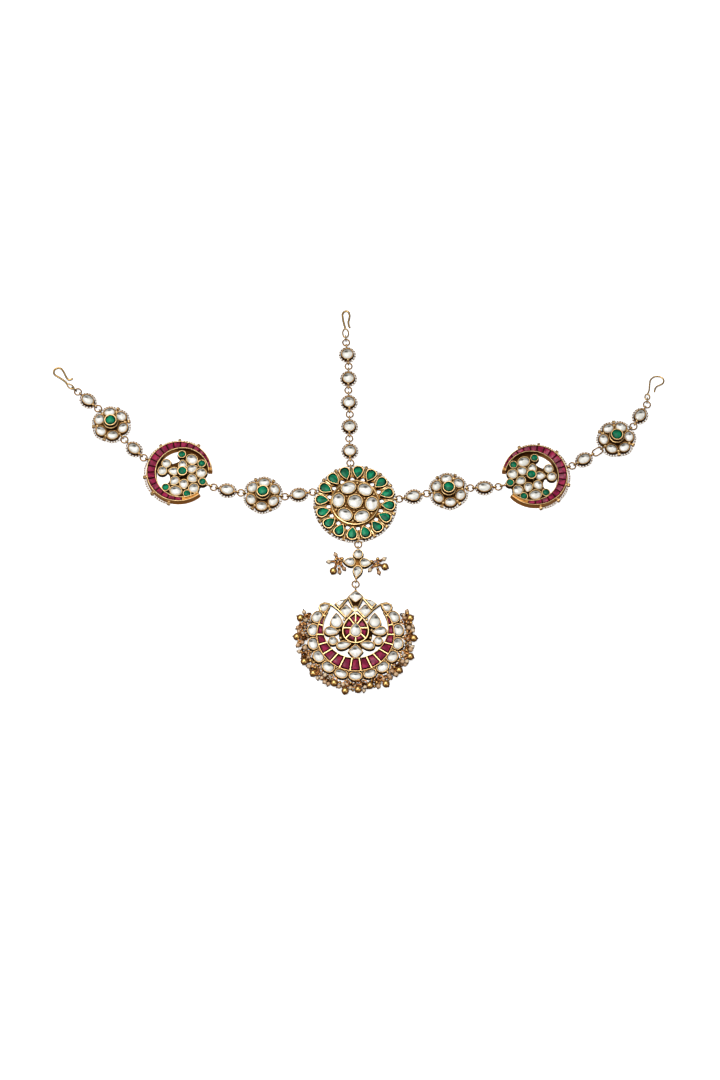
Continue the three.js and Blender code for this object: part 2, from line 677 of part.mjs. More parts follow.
function addTopStrip() {
  let middle = flat(CHAINS.top, MEDALLION.loopRadius + JUMP_RING.radius);
  addRing("ring_top_1", middle);
  TOP_HEADINGS.forEach((heading, k) => {
    middle = addPiece(`link_top_${k + 1}`, stoneLink(ROUND_LINK), middle, heading, TOP_LINK_SPAN);
    addRing(`ring_top_${k + 2}`, middle);
  });
  addHook("top", middle, TOP_HOOK_HEADING);
}

function addPendant() {
  const upright = PENDANT_HEADING + 90; // how the pieces whose Y runs up are turned
  let middle = flat(CHAINS.bottom, MEDALLION.loopRadius + JUMP_RING.radius);
  addRing("ring_bottom_1", middle);
  const along = flat(PENDANT_HEADING);
  const place = middle.clone().addScaledVector(along, JUMP_RING.radius + CONNECTOR_SPAN / 2);
  group.add(node("connector", connector(), place, upright));
  const [x, y] = [CONNECTOR_SIDE.x + DROP_RING.radius, CONNECTOR_SIDE.y];
  group.add(node("bead_cluster_left", beads(LEFT_CLUSTER).translate(-x, y, 0), place, upright));
  group.add(node("bead_cluster_right", beads(RIGHT_CLUSTER).translate(x, y, 0), place, upright));
  middle = middle.clone().addScaledVector(along, RING_SPAN + CONNECTOR_SPAN);
  addRing("ring_bottom_2", middle);
  const hang = new THREE.Vector2(middle.x, middle.y - JUMP_RING.radius - PENDANT.loopY);
  group.add(node("pendant", pendant(), hang));
  const stretches = [
    [0, 2],
    [3, 4],
    [5, 6],
    [7, 8],
    [9, 11],
  ];
  stretches.forEach(([first, last], k) => group.add(node(`fringe_${k + 1}`, fringe(first, last), hang)));
}

group.add(node("medallion", medallion()));
addTopStrip();
addArm("left");
addArm("right");
addPendant();

export default group;
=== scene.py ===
"""A matha patti lying on a table: a stone-set medallion, two chain arms, a top strip and a pendant."""
import math
import random

import bpy
from mathutils import Matrix, Vector
from mathutils.geometry import tessellate_polygon


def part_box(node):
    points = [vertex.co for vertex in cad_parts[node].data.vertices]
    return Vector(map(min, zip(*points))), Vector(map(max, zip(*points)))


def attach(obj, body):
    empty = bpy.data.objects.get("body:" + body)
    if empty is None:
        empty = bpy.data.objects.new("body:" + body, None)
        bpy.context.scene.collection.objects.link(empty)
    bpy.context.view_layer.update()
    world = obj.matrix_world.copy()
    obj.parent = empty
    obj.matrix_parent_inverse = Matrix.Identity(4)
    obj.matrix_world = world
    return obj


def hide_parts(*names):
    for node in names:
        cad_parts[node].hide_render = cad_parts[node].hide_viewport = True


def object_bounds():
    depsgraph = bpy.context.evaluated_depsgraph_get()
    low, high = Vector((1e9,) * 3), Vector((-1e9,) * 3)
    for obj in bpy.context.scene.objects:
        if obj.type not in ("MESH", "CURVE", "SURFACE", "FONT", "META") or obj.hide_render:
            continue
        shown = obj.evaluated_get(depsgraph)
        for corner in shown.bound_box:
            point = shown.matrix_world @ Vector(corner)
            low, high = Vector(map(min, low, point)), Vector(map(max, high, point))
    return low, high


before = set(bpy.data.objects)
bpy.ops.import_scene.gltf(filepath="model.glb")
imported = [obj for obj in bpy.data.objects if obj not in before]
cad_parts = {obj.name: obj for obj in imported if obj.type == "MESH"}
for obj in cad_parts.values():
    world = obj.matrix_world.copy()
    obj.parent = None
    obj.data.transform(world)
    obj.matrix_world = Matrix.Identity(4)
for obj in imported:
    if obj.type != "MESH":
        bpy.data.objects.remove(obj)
cad_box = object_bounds()

# ---------- Camera ----------
# It stands over the pendant's end of the table and looks down on the whole ornament, with a
# long lens, so that the two arms and the hooks keep their real proportions.
MM = 0.001
CAMERA_LEAN = math.radians(22)  # away from straight down
CAMERA_FAR = 1.535
AIM = Vector((2.5, -19.7, 0)) * MM

camera_data = bpy.data.cameras.new("camera")
camera_data.lens = 100
camera_data.sensor_width = 36
camera_data.clip_start = 0.05
camera = bpy.data.objects.new("camera", camera_data)
away = Vector((0, -math.sin(CAMERA_LEAN), math.cos(CAMERA_LEAN)))
camera.location = AIM + away * CAMERA_FAR
camera.rotation_euler = (CAMERA_LEAN, 0, 0)
bpy.context.scene.collection.objects.link(camera)
bpy.context.scene.camera = camera

# ---------- Table and studio light ----------
# The ornament lies on a white light table that glows a little, so shadows on it stay faint. A
# small soft box hangs over it inside a broad bright ceiling, and the room is dark lower down.
TABLE_SIZE = 8.0
TABLE_GLOW = 0.62
TABLE_IN_MIRROR = (0.27, 0.18, 0.1, 1)  # what polished metal sees of it
SOFT_BOXES = [
    # x, y, z in metres, width, watts
    (-0.26, 0.06, 1.25, 0.8, 9.5),
    (0.75, -0.75, 0.85, 0.6, 2.6),
    (-0.9, -0.5, 0.75, 0.6, 2.2),
]
CEILING_AXIS = (-0.06, 0.2, 0.98)
CEILING = [
    # cosine of the angle from the axis, radiance
    (0.0, 0.03),
    (0.5, 0.1),
    (0.8, 0.32),
    (0.94, 0.95),
    (1.0, 1.25),
]

bpy.ops.mesh.primitive_plane_add(size=TABLE_SIZE, location=(0, 0, cad_box[0].z - 0.05 * MM))
table = bpy.context.object
table.name = "table"

table_paint = bpy.data.materials.new("table_paint")
table_paint.use_nodes = True
paint_nodes = table_paint.node_tree.nodes
paint_links = table_paint.node_tree.links
paint = paint_nodes["Principled BSDF"]
paint.inputs["Roughness"].default_value = 0.6
paint.inputs["Specular IOR Level"].default_value = 0.2
paint.inputs["Emission Strength"].default_value = TABLE_GLOW
paint.inputs["Emission Color"].default_value = (1, 1, 1, 1)
paint_place = paint_nodes.new("ShaderNodeTexCoord")
paint_cloud = paint_nodes.new("ShaderNodeTexNoise")
paint_cloud.inputs["Scale"].default_value = 6
paint_ramp = paint_nodes.new("ShaderNodeValToRGB")
paint_ramp.color_ramp.elements[0].color = (0.93, 0.93, 0.92, 1)
paint_ramp.color_ramp.elements[1].color = (0.96, 0.96, 0.955, 1)
paint_links.new(paint_place.outputs["Object"], paint_cloud.inputs["Vector"])
paint_links.new(paint_cloud.outputs["Fac"], paint_ramp.inputs["Fac"])
paint_links.new(paint_ramp.outputs["Color"], paint.inputs["Base Color"])
mirrored = paint_nodes.new("ShaderNodeEmission")
mirrored.inputs["Color"].default_value = TABLE_IN_MIRROR
light_path = paint_nodes.new("ShaderNodeLightPath")
either = paint_nodes.new("ShaderNodeMixShader")
paint_links.new(light_path.outputs["Is Glossy Ray"], either.inputs[0])
paint_links.new(paint.outputs["BSDF"], either.inputs[1])
paint_links.new(mirrored.outputs["Emission"], either.inputs[2])
paint_links.new(either.outputs["Shader"], paint_nodes["Material Output"].inputs["Surface"])
table.data.materials.append(table_paint)

for number, (x, y, z, width, watts) in enumerate(SOFT_BOXES):
    lamp = bpy.data.lights.new(f"soft_box_{number + 1}", "AREA")
    lamp.shape = "SQUARE"
    lamp.size = width
    lamp.energy = watts
    stand = bpy.data.objects.new(f"soft_box_{number + 1}", lamp)
    stand.location = (x, y, z)
    stand.rotation_euler = (AIM - stand.location).to_track_quat("-Z", "Y").to_euler()
    bpy.context.scene.collection.objects.link(stand)

room = bpy.data.worlds.new("room")
room.use_nodes = True
room_nodes = room.node_tree.nodes
room_links = room.node_tree.links
room_place = room_nodes.new("ShaderNodeTexCoord")
room_angle = room_nodes.new("ShaderNodeVectorMath")
room_angle.operation = "DOT_PRODUCT"
room_angle.inputs[1].default_value = Vector(CEILING_AXIS).normalized()
room_ramp = room_nodes.new("ShaderNodeValToRGB")
room_ramp.color_ramp.interpolation = "EASE"
while len(room_ramp.color_ramp.elements) < len(CEILING):
    room_ramp.color_ramp.elements.new(0.5)
for stop, (cosine, radiance) in zip(room_ramp.color_ramp.elements, CEILING):
    stop.position = cosine
    stop.color = (radiance, radiance * 0.985, radiance * 0.96, 1)
room_links.new(room_place.outputs["Generated"], room_angle.inputs[0])
room_links.new(room_angle.outputs["Value"], room_ramp.inputs["Fac"])
room_links.new(room_ramp.outputs["Color"], room_nodes["Background"].inputs["Color"])
bpy.context.scene.world = room
bpy.context.scene.view_settings.view_transform = "Standard"

# ---------- Medallion: the gold work ----------
# A round gold-plated plate, cast and chased by hand, pierced between the pear-shaped settings.
# A narrow ring stands round the inner rosette, and each stone sits in a soldered collet of its own.


class Making:
    """One piece while it is being made: its corners and faces, in millimetres."""

    def __init__(self):
        self.corners = []
        self.faces = []
        self.smooth = []
        self.places = []
        self.seeds = []
        self.darks = []

    def add(self, corners, faces, smooth=True, places=None, seed=0.0, dark=0.0):
        first = len(self.corners)
        self.corners.extend(corners)
        self.faces.extend(tuple(first + corner for corner in face) for face in faces)
        self.smooth.extend([smooth] * len(faces))
        self.places.extend(places or [(0.0, 0.0, 0.0)] * len(corners))
        self.seeds.extend([seed] * len(corners))
        self.darks.extend(dark if isinstance(dark, list) else [dark] * len(corners))


def full_turn(count):
    """Angles spread evenly round a full turn."""
    return [2 * math.pi * k / count for k in range(count)]


def outline(length, width, point, count):
    """Corners of an oval, or of a pear whose tip lies on +X as point goes from 0 to 1."""
    widest = 2 * math.atan(math.sqrt(1 + point))
    full = math.sin(widest) * math.sin(widest / 2) ** point
    corners = []
    for turn in full_turn(count):
        side = math.sin(turn) * abs(math.sin(turn / 2)) ** point / full
        corners.append((length / 2 * math.cos(turn), width / 2 * side))
    return corners


def at_angle(degrees, far):
    angle = math.radians(degrees)
    return far * math.cos(angle), far * math.sin(angle)


def spot(x, y, degrees=0.0, z=0.0):
    return Matrix.Translation((x, y, z)) @ Matrix.Rotation(math.radians(degrees), 4, "Z")


def around(degrees, far, turn=0.0, z=0.0):
    """A place at a distance from the middle, in the direction of degrees, turned with it."""
    return spot(*at_angle(degrees, far), degrees + turn, z)


def belt(low, high, count):
    """The faces between two rings of corners, which start at low and high."""
    return [(low + k, low + (k + 1) % count, high + (k + 1) % count, high + k) for k in range(count)]


def loft(making, shape, rows, place, smooth=True, seed=0.0, marked=False):
    """Rings of one outline, one for each (inset, height, painted shade and tarnish) row, joined from the
    bottom up.
    """
    half_length = max(abs(x) for x, _ in shape)
    half_width = max(abs(y) for _, y in shape)
    turn = place.to_3x3()
    corners = []
    places = []
    for inset, height, *_ in rows:
        along = 1 - inset / half_length
        across = 1 - inset / half_width
        for x, y in shape:
            corners.append(place @ Vector((x * along, y * across, height)))
            if marked:
                side = turn @ Vector((x * along / half_length, y * across / half_width, 0))
                places.append((side.x, side.y, side.length))
    count = len(shape)
    faces = [tuple(reversed(range(count)))]
    for row in range(len(rows) - 1):
        faces.extend(belt(row * count, (row + 1) * count, count))
    last = (len(rows) - 1) * count
    faces.append(tuple(range(last, last + count)))
    dark = [row[2] if len(row) > 2 else 0.0 for row in rows for _ in shape]
    making.add(corners, faces, smooth, places or None, seed, dark)


def slab(making, rims, rows, place=None, dark=0.0):
    """A plate: (inset, height) rows of its rims. The first rim is its outline, the rest are holes."""
    place = place or Matrix()
    corners = []
    faces = []
    caps = []
    for rim in rims:
        count = len(rim)
        first = len(corners)
        for inset, height in rows:
            for k in range(count):
                run = (Vector(rim[(k + 1) % count]) - Vector(rim[k - 1])).normalized()
                x, y = Vector(rim[k]) + inset * Vector((-run.y, run.x))
                corners.append(place @ Vector((x, y, height)))
        for row in range(len(rows) - 1):
            low = first + row * count
            faces.extend(belt(low, low + count, count))
        caps.append((first, first + (len(rows) - 1) * count, count))
    flat_rims = [[Vector((x, y, 0)) for x, y in rim] for rim in rims]
    owners = [(cap, k) for cap in caps for k in range(cap[2])]
    for triangle in tessellate_polygon(flat_rims):
        (ax, ay), (bx, by), (cx, cy) = [rim_point(rims, caps, owners[k]) for k in triangle]
        if (bx - ax) * (cy - ay) - (by - ay) * (cx - ax) < 0:
            triangle = tuple(reversed(triangle))
        faces.append(tuple(owners[k][0][1] + owners[k][1] for k in triangle))
        faces.append(tuple(owners[k][0][0] + owners[k][1] for k in reversed(triangle)))
    making.add(corners, faces, dark=dark)


def rim_point(rims, caps, owner):
    cap, k = owner
    return rims[caps.index(cap)][k]


def tube(making, path, radius, sides=8, closed=False, place=None, dark=0.0):
    """A round wire along a path. radius is one number, or one for each point."""
    place = place or Matrix()
    points = [Vector(point) for point in path]
    count = len(points)
    radii = radius if isinstance(radius, list) else [radius] * count
    side = None
    corners = []
    for k, point in enumerate(points):
        back = points[k - 1] if closed or k > 0 else point
        ahead = points[(k + 1) % count] if closed or k < count - 1 else point
        run = (ahead - back).normalized()
        if side is None:
            side = run.orthogonal()
        side = (side - run * side.dot(run)).normalized()
        up = run.cross(side)
        for turn in full_turn(sides):
            off = side * math.cos(turn) + up * math.sin(turn)
            corners.append(place @ (point + off * radii[k]))
    faces = []
    for k in range(count if closed else count - 1):
        faces.extend(belt(k * sides, ((k + 1) % count) * sides, sides))
    if not closed:
        faces.append(tuple(reversed(range(sides))))
        faces.append(tuple(range((count - 1) * sides, count * sides)))
    making.add(corners, faces, dark=dark)


def ball(making, centre, size, place=None, seed=0.0, around_count=14, rows=8, tall=1.0, dark=0.0):
    """A bead. tall stretches it along Z."""
    place = place or Matrix()
    middle = Vector(centre)
    corners = [place @ (middle - Vector((0, 0, size / 2 * tall)))]
    places = [(0.0, 0.0, -1.0)]
    for row in range(1, rows):
        lean = math.pi * row / rows
        for turn in full_turn(around_count):
            out = math.sin(lean)
            off = Vector((out * math.cos(turn), out * math.sin(turn), -math.cos(lean)))
            places.append(tuple(off))
            off.z *= tall
            corners.append(place @ (middle + off * size / 2))
    corners.append(place @ (middle + Vector((0, 0, size / 2 * tall))))
    places.append((0.0, 0.0, 1.0))
    last = len(corners) - 1
    faces = []
    for k in range(around_count):
        after = (k + 1) % around_count
        faces.append((0, 1 + after, 1 + k))
        for row in range(rows - 2):
            low = 1 + row * around_count
            faces.append((low + k, low + after, low + around_count + after, low + around_count + k))
        top = 1 + (rows - 2) * around_count
        faces.append((top + k, top + after, last))
    making.add(corners, faces, True, places, seed, dark)


def circle(radius, count, z=0.0):
    return [Vector((radius * math.cos(turn), radius * math.sin(turn), z)) for turn in full_turn(count)]


def leaning(about_x, about_y):
    return Matrix.Rotation(about_x, 4, "X") @ Matrix.Rotation(about_y, 4, "Y")


JOINT_HEIGHT = 1.4  # of every jump ring's wire above the table
CHAIN_LOOP = {"radius": 0.84, "wire": 0.34}
THREAD_LOOP = {"radius": 0.62, "wire": 0.4, "turns": 2}
# How dark the gold is painted: painted shade on walls, feet, floors and in gaps, with some tarnish. 1 is the
# darkest, and below 0 it is rubbed bright.
POLISHED = -1.0
WORN = -0.3
AGED = 0.22  # rims on the pendant
DULL = 0.28  # rims on the links and petals


def upright_loop(gold, reach, root, place, radius, wire, turns=1):
    """A loop of wire soldered upright, at a distance from the middle, on a short stem."""
    for turn in range(turns):
        across = (turn - (turns - 1) / 2) * wire * 1.9
        ring = [Vector((reach + p.x, across, JOINT_HEIGHT + p.y)) for p in circle(radius, 18)]
        tube(gold, ring, wire, 8, True, place, WORN)
    low = JOINT_HEIGHT - 0.35
    tube(gold, [(root, 0, low), (reach - radius, 0, low)], [wire * 1.5, wire * 1.1], 8, False, place, WORN)
    ball(gold, (root + 0.25, 0, JOINT_HEIGHT + 0.1), wire * 4.2, place, 0, 10, 6, 1.0, POLISHED)


RIM = 0.5  # width of a collet's rim, rubbed over the stone
FOOT = 0.36  # how far the base sheet under a collet stands out
STONE_LEAN = 0.05  # the most that a stone leans in its collet, in radians
dice = random.Random(7)


def collet(gold, shape, place, foot, wall, polish=WORN):
    """A straight-sided gold cup whose rim is rubbed over the stone."""
    edge, brim = (1.0, 0.28) if polish > POLISHED else (0.7, 0.37)
    # Painted shade darkens the foot sheet, the outer wall and the inner lip; the top of the rim is rubbed
    # bright.
    rows = [
        # inset, height, painted shade and tarnish
        (0.1 - FOOT, foot, 1.0),
        (-FOOT, foot + 0.12, 1.0),
        (-FOOT, foot + 0.3, 1.0),
        (-0.06, foot + 0.42, 1.0),
        (-0.04, wall - 0.7, 0.9),
        (-0.02, wall - 0.16, edge),
        (0.08, wall, edge),
        (0.14, wall, polish),
        (brim, wall, polish),
        (brim + 0.07, wall - 0.1, 0.95),
        (RIM, wall - 0.4, 1.0),
    ]
    loft(gold, shape, rows, place)


def stone(stones, shape, place, wall, crown):
    """A low domed stone with a row of facets round its edge, each lying a little uneven."""
    inside = min(max(abs(x) for x, _ in shape), max(abs(y) for _, y in shape)) - RIM
    lean = leaning(dice.uniform(-STONE_LEAN, STONE_LEAN), dice.uniform(-STONE_LEAN, STONE_LEAN))
    rows = [(RIM - 0.03, -0.5), (RIM + 0.04, -0.2)]
    for share, height in ((0.2, 0.42), (0.42, 0.74), (0.66, 0.93), (0.88, 1.0)):
        rows.append((RIM + inside * share, crown * height - 0.1))
    loft(stones, shape, rows, place @ Matrix.Translation((0, 0, wall)) @ lean, True, dice.random(), True)


def setting(gold, stones, form, place, foot=0.1, wall=2.4, crown=0.7, polish=WORN):
    """A collet with its stone. form is (length, width, point), its tip on the place's own +X."""
    collet(gold, outline(*form, 40), place, foot, wall, polish)
    stone(stones, outline(*form, 24), place, wall, crown)


SEED_PEARL = 1.26
KNOT = 0.84  # the thread's knots between the pearls


def seed_pearl(pearls, x, y, place, size=SEED_PEARL):
    size *= dice.uniform(0.93, 1.03)
    ball(pearls, (x, y, size / 2 + 0.05), size, place, dice.random(), 12, 7, dice.uniform(0.9, 1.0))


def thread(gold, path, place, closed=True):
    tube(gold, path, 0.2, 6, closed, place, 0.8)


def knot(gold, x, y, place):
    ball(gold, (x, y, 0.85), KNOT, place, 0, 7, 5, 1.0, 0.72)


def strung(gold, pearls, count, start, apart, at, size=SEED_PEARL):
    """A stretch of strung pearls with a knot between each two. at gives distance and place at an angle."""
    for n in range(count):
        swing = start + apart * (n + 0.5)
        far, place = at(swing)
        seed_pearl(pearls, far, 0, place, size)
        if n > 0:
            far, place = at(swing - apart / 2)
            knot(gold, far, 0, place)


MEDALLION = {"edge": 20.2, "scallop": 0.35, "plate": 1.4, "pears": 16, "first_pear": 85, "first_loop": 6.25}
CHAIN_LOOPS_AT = [6.25, 96.25, 163.75, 274]
PEAR = {"far": 17.0, "form": (7.4, 5.7, 1.0), "wall": 2.9}
OVAL = {"far": 8.6, "form": (6.7, 8.2, 0.0), "wall": 3.7, "first": -6.4, "count": 6}
GALLERY = {"radius": 12.1, "wire": 0.42, "height": 2.75}
LOOP_REACH = {"chain": 21.0, "thread": 20.7, "root": 18.9}
LOOP_CLEAR = {"chain": 4.2, "thread": 2.0}  # degrees left free of pearls beside a loop
PEARL_CIRCLE = 21.15
PEARLS_A_SPAN = 4
# the openings between the pear-shaped settings
PIERCED_FAR = 13.85
PIERCED_SCALE = 1.25
PIERCED = [(1.1, 0), (0.2, 0.95), (-0.9, 0.7), (-0.9, -0.7), (0.2, -0.95)]
RIDGE = [
    # distance, height, radius: the chased ridge between two pears
    (15.0, 1.5, 0.25),
    (16.2, 1.9, 0.42),
    (17.8, 2.1, 0.5),
    (19.4, 1.9, 0.55),
    (20.4, 1.5, 0.5),
]
RIB = [
    # degrees from the ridge, distance, height
    (1.0, 19.6, 1.7),
    (2.6, 17.4, 2.0),
    (5.6, 14.6, 1.9),
    (7.5, 13.1, 1.8),
]
RIB_RADIUS = 0.32

medallion_gold = Making()
medallion_white = Making()
medallion_green = Making()
medallion_pearls = Making()

edge = []
for turn in full_turn(192):
    wave = math.cos(MEDALLION["pears"] * (turn - math.radians(MEDALLION["first_pear"])))
    far = MEDALLION["edge"] + MEDALLION["scallop"] * wave
    edge.append((far * math.cos(turn), far * math.sin(turn)))
pear_step = 360 / MEDALLION["pears"]
holes = []
for k in range(MEDALLION["pears"]):
    place = around(MEDALLION["first_pear"] + (k + 0.5) * pear_step, PIERCED_FAR)
    hole = [place @ Vector((PIERCED_SCALE * x, PIERCED_SCALE * y, 0)) for x, y in PIERCED]
    holes.append([(p.x, p.y) for p in reversed(hole)])
slab(medallion_gold, [edge, *holes], [(0, 0), (0, 1.2), (0.2, MEDALLION["plate"])], dark=0.55)
loft(medallion_gold, outline(24.8, 24.8, 0, 72), [(0, 0.6, 1.0), (0, 2.3, 0.9), (0.15, 2.5, 0.84)], Matrix())
tube(medallion_gold, circle(GALLERY["radius"], 72, GALLERY["height"]), GALLERY["wire"], 8, True)

for k in range(MEDALLION["pears"]):
    angle = MEDALLION["first_pear"] + k * pear_step
    pear_place = around(angle, PEAR["far"], 180)
    setting(medallion_gold, medallion_green, PEAR["form"], pear_place, 0.6, PEAR["wall"], 0.5, POLISHED)
    half_way = angle + pear_step / 2
    ridge = [around(half_way, far) @ Vector((0, 0, height)) for far, height, _ in RIDGE]
    tube(medallion_gold, ridge, [radius for _, _, radius in RIDGE])
    for side in (-1, 1):
        rib = [around(half_way + side * swing, far) @ Vector((0, 0, height)) for swing, far, height in RIB]
        tube(medallion_gold, rib, RIB_RADIUS, 6, dark=1.0)

for k in range(OVAL["count"]):
    angle = OVAL["first"] + k * 360 / OVAL["count"]
    oval_place = around(angle, OVAL["far"])
    setting(medallion_gold, medallion_white, OVAL["form"], oval_place, 2.2, OVAL["wall"], 0.75)
    half_way = angle + 180 / OVAL["count"]
    ball(medallion_gold, (0, 0, 3.15), 1.5, around(half_way, 10.6), 0, 12, 7, 1.0, POLISHED)
    ball(medallion_gold, (0, 0, 3.2), 1.15, around(half_way, 5.3), 0, 10, 6, 1.0, POLISHED)
loft(medallion_gold, outline(9.2, 9.2, 0, 48), [(0, 2.4, 1.0), (0, 3.0, 0.7), (0.25, 3.25, 0.4)], Matrix())
setting(medallion_gold, medallion_white, (7.9, 7.9, 0.0), Matrix(), 3.0, 4.3, 0.8)

loop_angles = [MEDALLION["first_loop"] + k * pear_step for k in range(MEDALLION["pears"])]
loop_angles = [min(CHAIN_LOOPS_AT, key=lambda a, b=angle: abs(a - b))
               if min(abs(a - angle) for a in CHAIN_LOOPS_AT) < pear_step / 2 else angle
               for angle in loop_angles]
for number, angle in enumerate(loop_angles):
    ahead = loop_angles[(number + 1) % len(loop_angles)]
    here, there = ("chain" if at in CHAIN_LOOPS_AT else "thread" for at in (angle, ahead))
    kind = CHAIN_LOOP if here == "chain" else THREAD_LOOP
    upright_loop(medallion_gold, LOOP_REACH[here], LOOP_REACH["root"], around(angle, 0), **kind)
    apart = ((ahead - angle) % 360 - LOOP_CLEAR[here] - LOOP_CLEAR[there]) / PEARLS_A_SPAN
    strung(medallion_gold, medallion_pearls, PEARLS_A_SPAN, angle + LOOP_CLEAR[here], apart,
           lambda swing: (PEARL_CIRCLE, around(swing, 0)))
thread(medallion_gold, circle(PEARL_CIRCLE, 96, 0.75), Matrix())

# ---------- Medallion: the finishes ----------
# The brass is gold-plated and antiqued: polish wears it bright on the raised edges, and the
# patina stays orange-brown in the corners. Walls, feet, floors and the deepest corners get
# painted shade. Stones lie on foil, with painted glints on random facets and painted shade on
# their far half, far edge, rim and one spot. The seed pearls are natural, with painted shade
# underneath.


def node_group(name, colours, values):
    """A shader node group that gives a colour, a roughness and a height."""
    group = bpy.data.node_groups.new(name, "ShaderNodeTree")
    for way, kind, labels in (
        ("INPUT", "NodeSocketColor", colours),
        ("INPUT", "NodeSocketFloat", values),
        ("OUTPUT", "NodeSocketColor", ["Color"]),
        ("OUTPUT", "NodeSocketFloat", ["Roughness", "Height"]),
    ):
        for label in labels:
            group.interface.new_socket(name=label, in_out=way, socket_type=kind)
    return group, group.nodes.new("NodeGroupInput").outputs, group.nodes.new("NodeGroupOutput").inputs


def plug(tree, value, socket):
    """Feeds a socket from another one, or sets it to a plain value."""
    if isinstance(value, bpy.types.NodeSocket):
        tree.links.new(value, socket)
    elif value is not None:
        socket.default_value = value


def math_node(tree, operation, a, b=None, clamp=False, c=None):
    """A Math node. Each of a, b and c is a socket or a number."""
    made = tree.nodes.new("ShaderNodeMath")
    made.operation = operation
    made.use_clamp = clamp
    for number, value in enumerate((a, b, c)):
        plug(tree, value, made.inputs[number])
    return made.outputs["Value"]


def vector_node(tree, operation, output, *values):
    """A Vector Math node. Each value is a socket or three numbers."""
    made = tree.nodes.new("ShaderNodeVectorMath")
    made.operation = operation
    for number, value in enumerate(values):
        plug(tree, value, made.inputs[number])
    return made.outputs[output]


def joined(tree, **axes):
    made = tree.nodes.new("ShaderNodeCombineXYZ")
    for axis, value in axes.items():
        plug(tree, value, made.inputs[axis])
    return made.outputs["Vector"]


def split_up(tree, vector):
    made = tree.nodes.new("ShaderNodeSeparateXYZ")
    tree.links.new(vector, made.inputs["Vector"])
    return made.outputs


def attribute(tree, name, output="Fac"):
    """What each corner of a piece carries under a name."""
    made = tree.nodes.new("ShaderNodeAttribute")
    made.attribute_name = name
    return made.outputs[output]


def blend(tree, share, first, second, kind="MIX"):
    """A colour mix. Each of first and second is a socket or a colour."""
    made = tree.nodes.new("ShaderNodeMix")
    made.data_type = "RGBA"
    made.blend_type = kind
    for name, value in (("Factor", share), ("A", first), ("B", second)):
        plug(tree, value, [s for s in made.inputs if s.name == name and s.enabled][0])
    return [s for s in made.outputs if s.enabled][0]


def noise(tree, place, scale, detail=3.0):
    made = tree.nodes.new("ShaderNodeTexNoise")
    made.inputs["Scale"].default_value = scale
    made.inputs["Detail"].default_value = detail
    tree.links.new(place, made.inputs["Vector"])
    return made.outputs["Fac"]


def ranged(tree, value, low, high, to_low=0.0, to_high=1.0):
    made = tree.nodes.new("ShaderNodeMapRange")
    made.interpolation_type = "SMOOTHSTEP"
    for name, number in (("From Min", low), ("From Max", high), ("To Min", to_low), ("To Max", to_high)):
        made.inputs[name].default_value = number
    tree.links.new(value, made.inputs["Value"])
    return made.outputs["Result"]


antique, antique_in, antique_out = node_group(
    "antique_gold_finish", ["Bright", "Warm", "Deep"], ["Patina", "Painted Side Shade", "Polish"])
# CORNER_REACH also sets how far the painted shade of the deepest corners spreads.
CORNER_REACH = 2.2 * MM  # how far the patina spreads out of a corner
DENT_DEPTH = 0.1 * MM
where = antique.nodes.new("ShaderNodeTexCoord").outputs["Object"]
surface = antique.nodes.new("ShaderNodeNewGeometry")
corner_dark = antique.nodes.new("ShaderNodeAmbientOcclusion")
corner_dark.samples = 8
corner_dark.inputs["Distance"].default_value = CORNER_REACH
recess = ranged(antique, corner_dark.outputs["AO"], 0.3, 0.95, 1.0, 0.0)
cloud = noise(antique, where, 420)
fine = noise(antique, where, 2600, 2)
worn = ranged(antique, surface.outputs["Pointiness"], 0.5, 0.6)
stain = math_node(antique, "MULTIPLY", recess, antique_in["Patina"])
stain = math_node(antique, "ADD", stain, ranged(antique, cloud, 0.45, 0.8, 0.0, 0.3))
stain = math_node(antique, "SUBTRACT", stain, math_node(antique, "MULTIPLY", worn, 0.35), True)
# The dark value of each corner: painted shade on walls, feet, floors and in gaps, with some tarnish; below 0
# the gold is rubbed bright.
shade_and_tarnish = attribute(antique, "dark")
rubbed = math_node(antique, "MULTIPLY", shade_and_tarnish, -1.0, True)
unrubbed = math_node(antique, "SUBTRACT", 1.0, rubbed)
stain = math_node(antique, "MULTIPLY", stain, unrubbed)
tone = blend(antique, stain, antique_in["Bright"], antique_in["Warm"])
# Painted shade: faces that turn sideways, and the deepest corners that the occlusion finds, go towards Warm
# and then Deep.
facing = split_up(antique, surface.outputs["Normal"])
side = ranged(antique, facing["Z"], 0.15, 0.8, 1.0, 0.0)
corner = ranged(antique, corner_dark.outputs["AO"], 0.12, 0.55, 1.0, 0.0)
side = math_node(antique, "MAXIMUM", side, corner)
side = math_node(antique, "MULTIPLY", side, antique_in["Painted Side Shade"], True)
side = math_node(antique, "MULTIPLY", side, unrubbed)
side = math_node(antique, "MAXIMUM", side, math_node(antique, "MULTIPLY", shade_and_tarnish, 0.98))
tone = blend(antique, ranged(antique, side, 0.0, 0.55), tone, antique_in["Warm"])
tone = blend(antique, ranged(antique, side, 0.5, 1.0), tone, antique_in["Deep"])
antique.links.new(tone, antique_out["Color"])
dull = math_node(antique, "MAXIMUM", stain, side)
dull = math_node(antique, "MULTIPLY_ADD", dull, 0.22, c=antique_in["Polish"])
antique.links.new(dull, antique_out["Roughness"])
antique.links.new(math_node(antique, "ADD", cloud, fine), antique_out["Height"])


